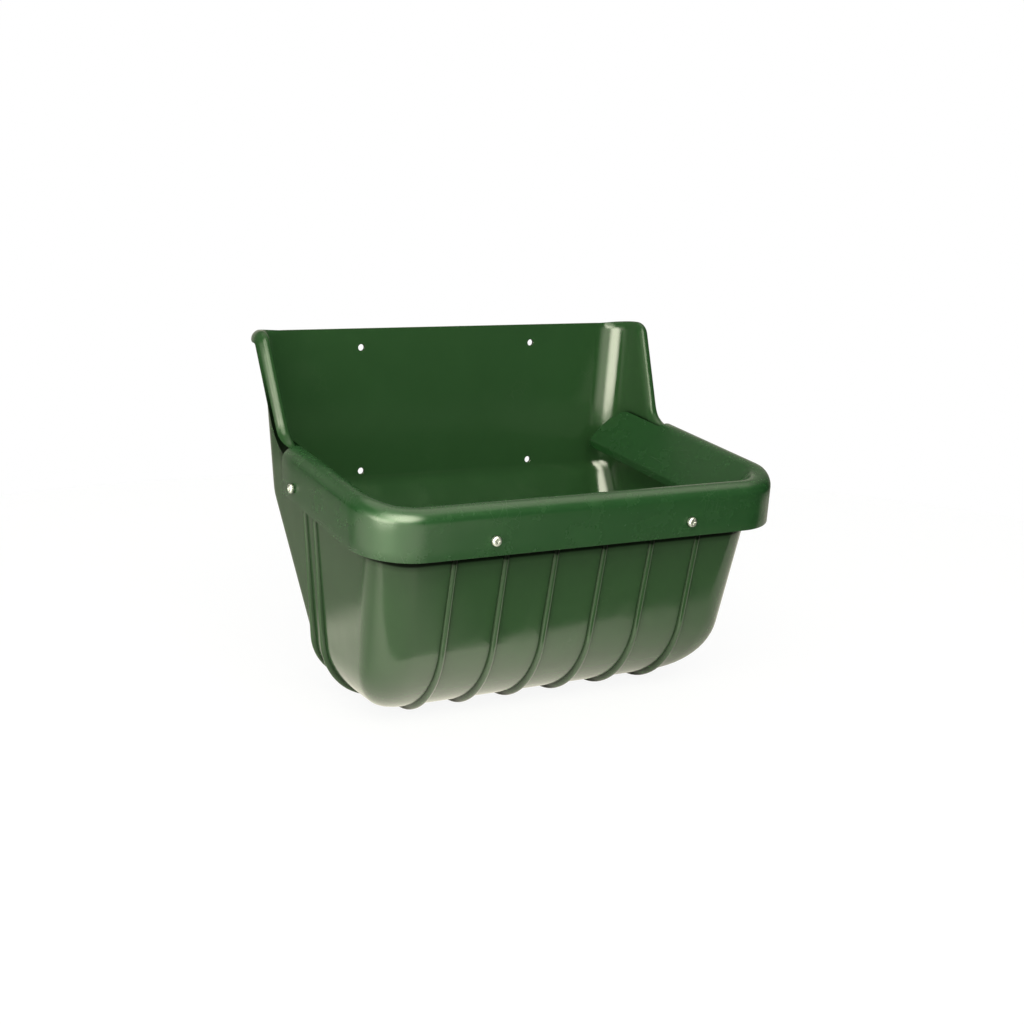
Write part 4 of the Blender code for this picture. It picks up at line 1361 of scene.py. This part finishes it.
class TroughFastenerSizes(bpy.types.PropertyGroup):
    """Small forms of the screws, washers and nuts"""

    head_round: length("Head rounding", "Rounding of the pan head's edge", 0.0022)
    core_diameter: length("Core diameter", "Diameter under the screw's thread", 0.0049)
    thread_pitch: length("Thread pitch", "Rise of the thread in a turn", 0.001)
    recess_span: length("Recess span", "Width across the cross recess", 0.0066)
    recess_width: length("Recess arm width", "Width of an arm of the cross recess", 0.0014)
    recess_depth: length("Recess depth", "Depth of the cross recess", 0.0016)
    washer_round: length("Washer rounding", "Rounding of the washer's edges", 0.0003)
    nut_chamfer: length("Nut chamfer", "Chamfer at the corners of the nut", 0.0008)


class TroughFinish(bpy.types.PropertyGroup):
    """Colours and finishes of the trough"""

    body_colour: colour_of("Body colour", "Pigment of the moulded body", (0.036, 0.102, 0.033))
    rim_colour: colour_of("Rim colour", "Pigment of the guard rim", (0.023, 0.088, 0.025))
    scratch_colour: colour_of("Scratch colour", "Colour of fine scratches", (0.10, 0.17, 0.09))
    colour_change: share_of("Colour change", "Strength of the pigment clouds", 0.10)
    # Painted shade: how far the darkening of the body's colour in crevices reaches
    crevice_shade_reach: length("Crevice reach", "Distance over which crevices darken", 0.013)
    # Painted shadow: how far the darkening of the bowl's colour under the skirt reaches
    rim_shade: length("Rim shade", "Distance over which the bowl darkens under the rim", 0.022)
    body_roughness: share_of("Body roughness", "Roughness of the body's clean plastic", 0.13)
    rim_roughness: share_of("Rim roughness", "Roughness of the rim's satin plastic", 0.25)
    scuff_amount: share_of("Scuffs", "Strength of the fine scratches", 0.5)
    wave_height: length("Wave height", "Height of the slow waves in the moulding", 0.0005)
    grain_height: length("Grain height", "Height of the fine grain", 0.00003)
    edge_dulling: share_of("Edge dulling", "Gloss lost by the upper edges of the body", 0.36)
    zinc_colour: colour_of("Zinc colour", "Colour of the plated screws and nuts", (0.60, 0.64, 0.59))
    washer_colour: colour_of("Washer colour", "Colour of the dull plated washers", (0.09, 0.12, 0.09))
    zinc_roughness: share_of("Zinc roughness", "Roughness of the plated fasteners", 0.38)


class TroughStage(bpy.types.PropertyGroup):
    """Lights and surroundings"""

    ambient: share_of("Ambient level", "Light of the room from the front, left and above", 0.55, 4.0)
    shade: share_of("Shade level", "Light of the room from the other sides", 0.14, 4.0)
    sky_tint: colour_of("Sky tint", "Tint of the light from all round", (0.93, 0.98, 1.0))
    lamp_tint: colour_of("Lamp tint", "Tint of the lamps and of what gloss shows", (1, 0.96, 0.80))
    dim_room: gloss_of("Dim room", "Brightness of the dim room", 0.32)
    left_room: gloss_of("Left room", "Added brightness in front on the left", 3.0)
    back_room: gloss_of("Back room", "Added brightness behind", 0.42)
    key_glow: gloss_of("Key glow", "Brightness of the key lamp", 15.0, 40.0)
    left_glow: gloss_of("Left glow", "Brightness of the left lamp", 13.0, 40.0)
    ceiling: gloss_of("Ceiling", "Added brightness overhead", 1.6)
    table_bounce: colour_of("Table bounce", "Colour of the light the table throws up", (0.5, 0.5, 0.48))
    table_colour: colour_of("Table colour", "Colour of the pale table", (0.76, 0.76, 0.75))
    table_white: share_of("Table white", "Level of the white that a camera sees on the table", 1.12, 4.0)
    table_glow: share_of("Table paleness", "Share of that white at the camera", 0.81)
    table_glint: gloss_of("Table glint", "Brightness of the table at the far left", 2.5)
    table_left: gloss_of("Table left", "Brightness of the table in front on the left", 0.9)
    table_dim: gloss_of("Table dim", "Brightness of the rest of the table", 0.25)
    sheet_level: gloss_of("Sheet level", "Brightness of the table's white sheet", 0.7)
    sheet_left: gloss_of("Sheet left", "Added brightness of the sheet on the left", 1.7)
    # Painted shadow of the bowl on the table's glow, as seen in a mirror
    sheet_shade: share_of("Sheet shade", "Darkening of the sheet under the bowl", 0.6)
    sheet_front: length("Sheet front", "Place of the sheet's front edge", -0.45, -2)
    sheet_back: length("Sheet back", "Place of the sheet's back edge", 0.13, -2)
    sheet_softness: length("Sheet softness", "Half width of the fade at the sheet's edges", 0.008)
    table_radius: length("Table radius", "Radius of the pale table", 1.6)
    table_drop: length("Table drop", "Gap between the trough and the table", 0.0005)


class FEED_TROUGH_OT_body(bpy.types.Operator):
    """Model the moulded body with its ribs, rolled lip and holes"""

    bl_idname = "feed_trough.body"
    bl_label = "Moulded body"

    def execute(self, context):
        finish = context.scene.trough_finish
        body = model_body(context.scene.trough_body_sizes)
        green = plastic_finish("body_plastic", finish.body_colour, finish.body_roughness, True, finish)
        finish_piece(body, ["trough_body"], green)
        return {"FINISHED"}


class FEED_TROUGH_OT_rim(bpy.types.Operator):
    """Model the guard rim with its skirt, crest, flange and hem"""

    bl_idname = "feed_trough.rim"
    bl_label = "Guard rim"

    def execute(self, context):
        finish = context.scene.trough_finish
        rim = model_rim(context.scene.trough_rim_sizes)
        green = plastic_finish("rim_plastic", finish.rim_colour, finish.rim_roughness, False, finish)
        finish_piece(rim, ["guard_rim"], green)
        return {"FINISHED"}


class FEED_TROUGH_OT_screws(bpy.types.Operator):
    """Model a pan head screw and put four in the rim"""

    bl_idname = "feed_trough.screws"
    bl_label = "Screws"

    def execute(self, context):
        add_fasteners(context.scene, "screw", model_screw, context.scene.trough_finish.zinc_colour)
        return {"FINISHED"}


class FEED_TROUGH_OT_washers(bpy.types.Operator):
    """Model a flat washer and put one under each screw head"""

    bl_idname = "feed_trough.washers"
    bl_label = "Washers"

    def execute(self, context):
        add_fasteners(context.scene, "washer", model_washer, context.scene.trough_finish.washer_colour)
        return {"FINISHED"}


class FEED_TROUGH_OT_nuts(bpy.types.Operator):
    """Model a hexagon nut and put one on each screw behind the lip"""

    bl_idname = "feed_trough.nuts"
    bl_label = "Nuts"

    def execute(self, context):
        add_fasteners(context.scene, "nut", model_nut, context.scene.trough_finish.zinc_colour)
        return {"FINISHED"}


class FEED_TROUGH_OT_stage(bpy.types.Operator):
    """Set up the camera, the pale table, the room and the soft lights"""

    bl_idname = "feed_trough.stage"
    bl_label = "Studio"

    def execute(self, context):
        stage = context.scene.trough_stage
        context.scene.view_settings.view_transform = "Standard"
        make_camera()
        make_world(stage)
        make_floor(stage)
        soft_light("key_lamp", *KEY_LAMP, stage.lamp_tint)
        soft_light("left_lamp", *LEFT_LAMP, stage.lamp_tint)
        return {"FINISHED"}


OPERATORS = (
    FEED_TROUGH_OT_body,
    FEED_TROUGH_OT_rim,
    FEED_TROUGH_OT_screws,
    FEED_TROUGH_OT_washers,
    FEED_TROUGH_OT_nuts,
    FEED_TROUGH_OT_stage,
)
GROUPS = {
    "trough_body_sizes": TroughBodySizes,
    "trough_rim_sizes": TroughRimSizes,
    "trough_fastener_sizes": TroughFastenerSizes,
    "trough_finish": TroughFinish,
    "trough_stage": TroughStage,
}


class FEED_TROUGH_PT_panel(bpy.types.Panel):
    """Pieces and values of the feed trough"""

    bl_idname = "FEED_TROUGH_PT_panel"
    bl_label = "Feed trough"
    bl_space_type = "VIEW_3D"
    bl_region_type = "UI"
    bl_category = "Feed trough"

    def draw(self, context):
        for name, group in GROUPS.items():
            box = self.layout.box()
            box.label(text=group.__doc__)
            for key in group.__annotations__:
                box.prop(getattr(context.scene, name), key)
        for operator in OPERATORS:
            self.layout.operator(operator.bl_idname)


CLASSES = (*GROUPS.values(), *OPERATORS, FEED_TROUGH_PT_panel)


def register():
    for cls in CLASSES:
        bpy.utils.register_class(cls)
    for name, group in GROUPS.items():
        setattr(bpy.types.Scene, name, PointerProperty(type=group))


def unregister():
    for name in GROUPS:
        delattr(bpy.types.Scene, name)
    for cls in reversed(CLASSES):
        bpy.utils.unregister_class(cls)


def main():
    register()
    bpy.ops.feed_trough.body()
    bpy.ops.feed_trough.rim()
    bpy.ops.feed_trough.screws()
    bpy.ops.feed_trough.washers()
    bpy.ops.feed_trough.nuts()
    bpy.ops.feed_trough.stage()


if __name__ == "__main__":
    main()
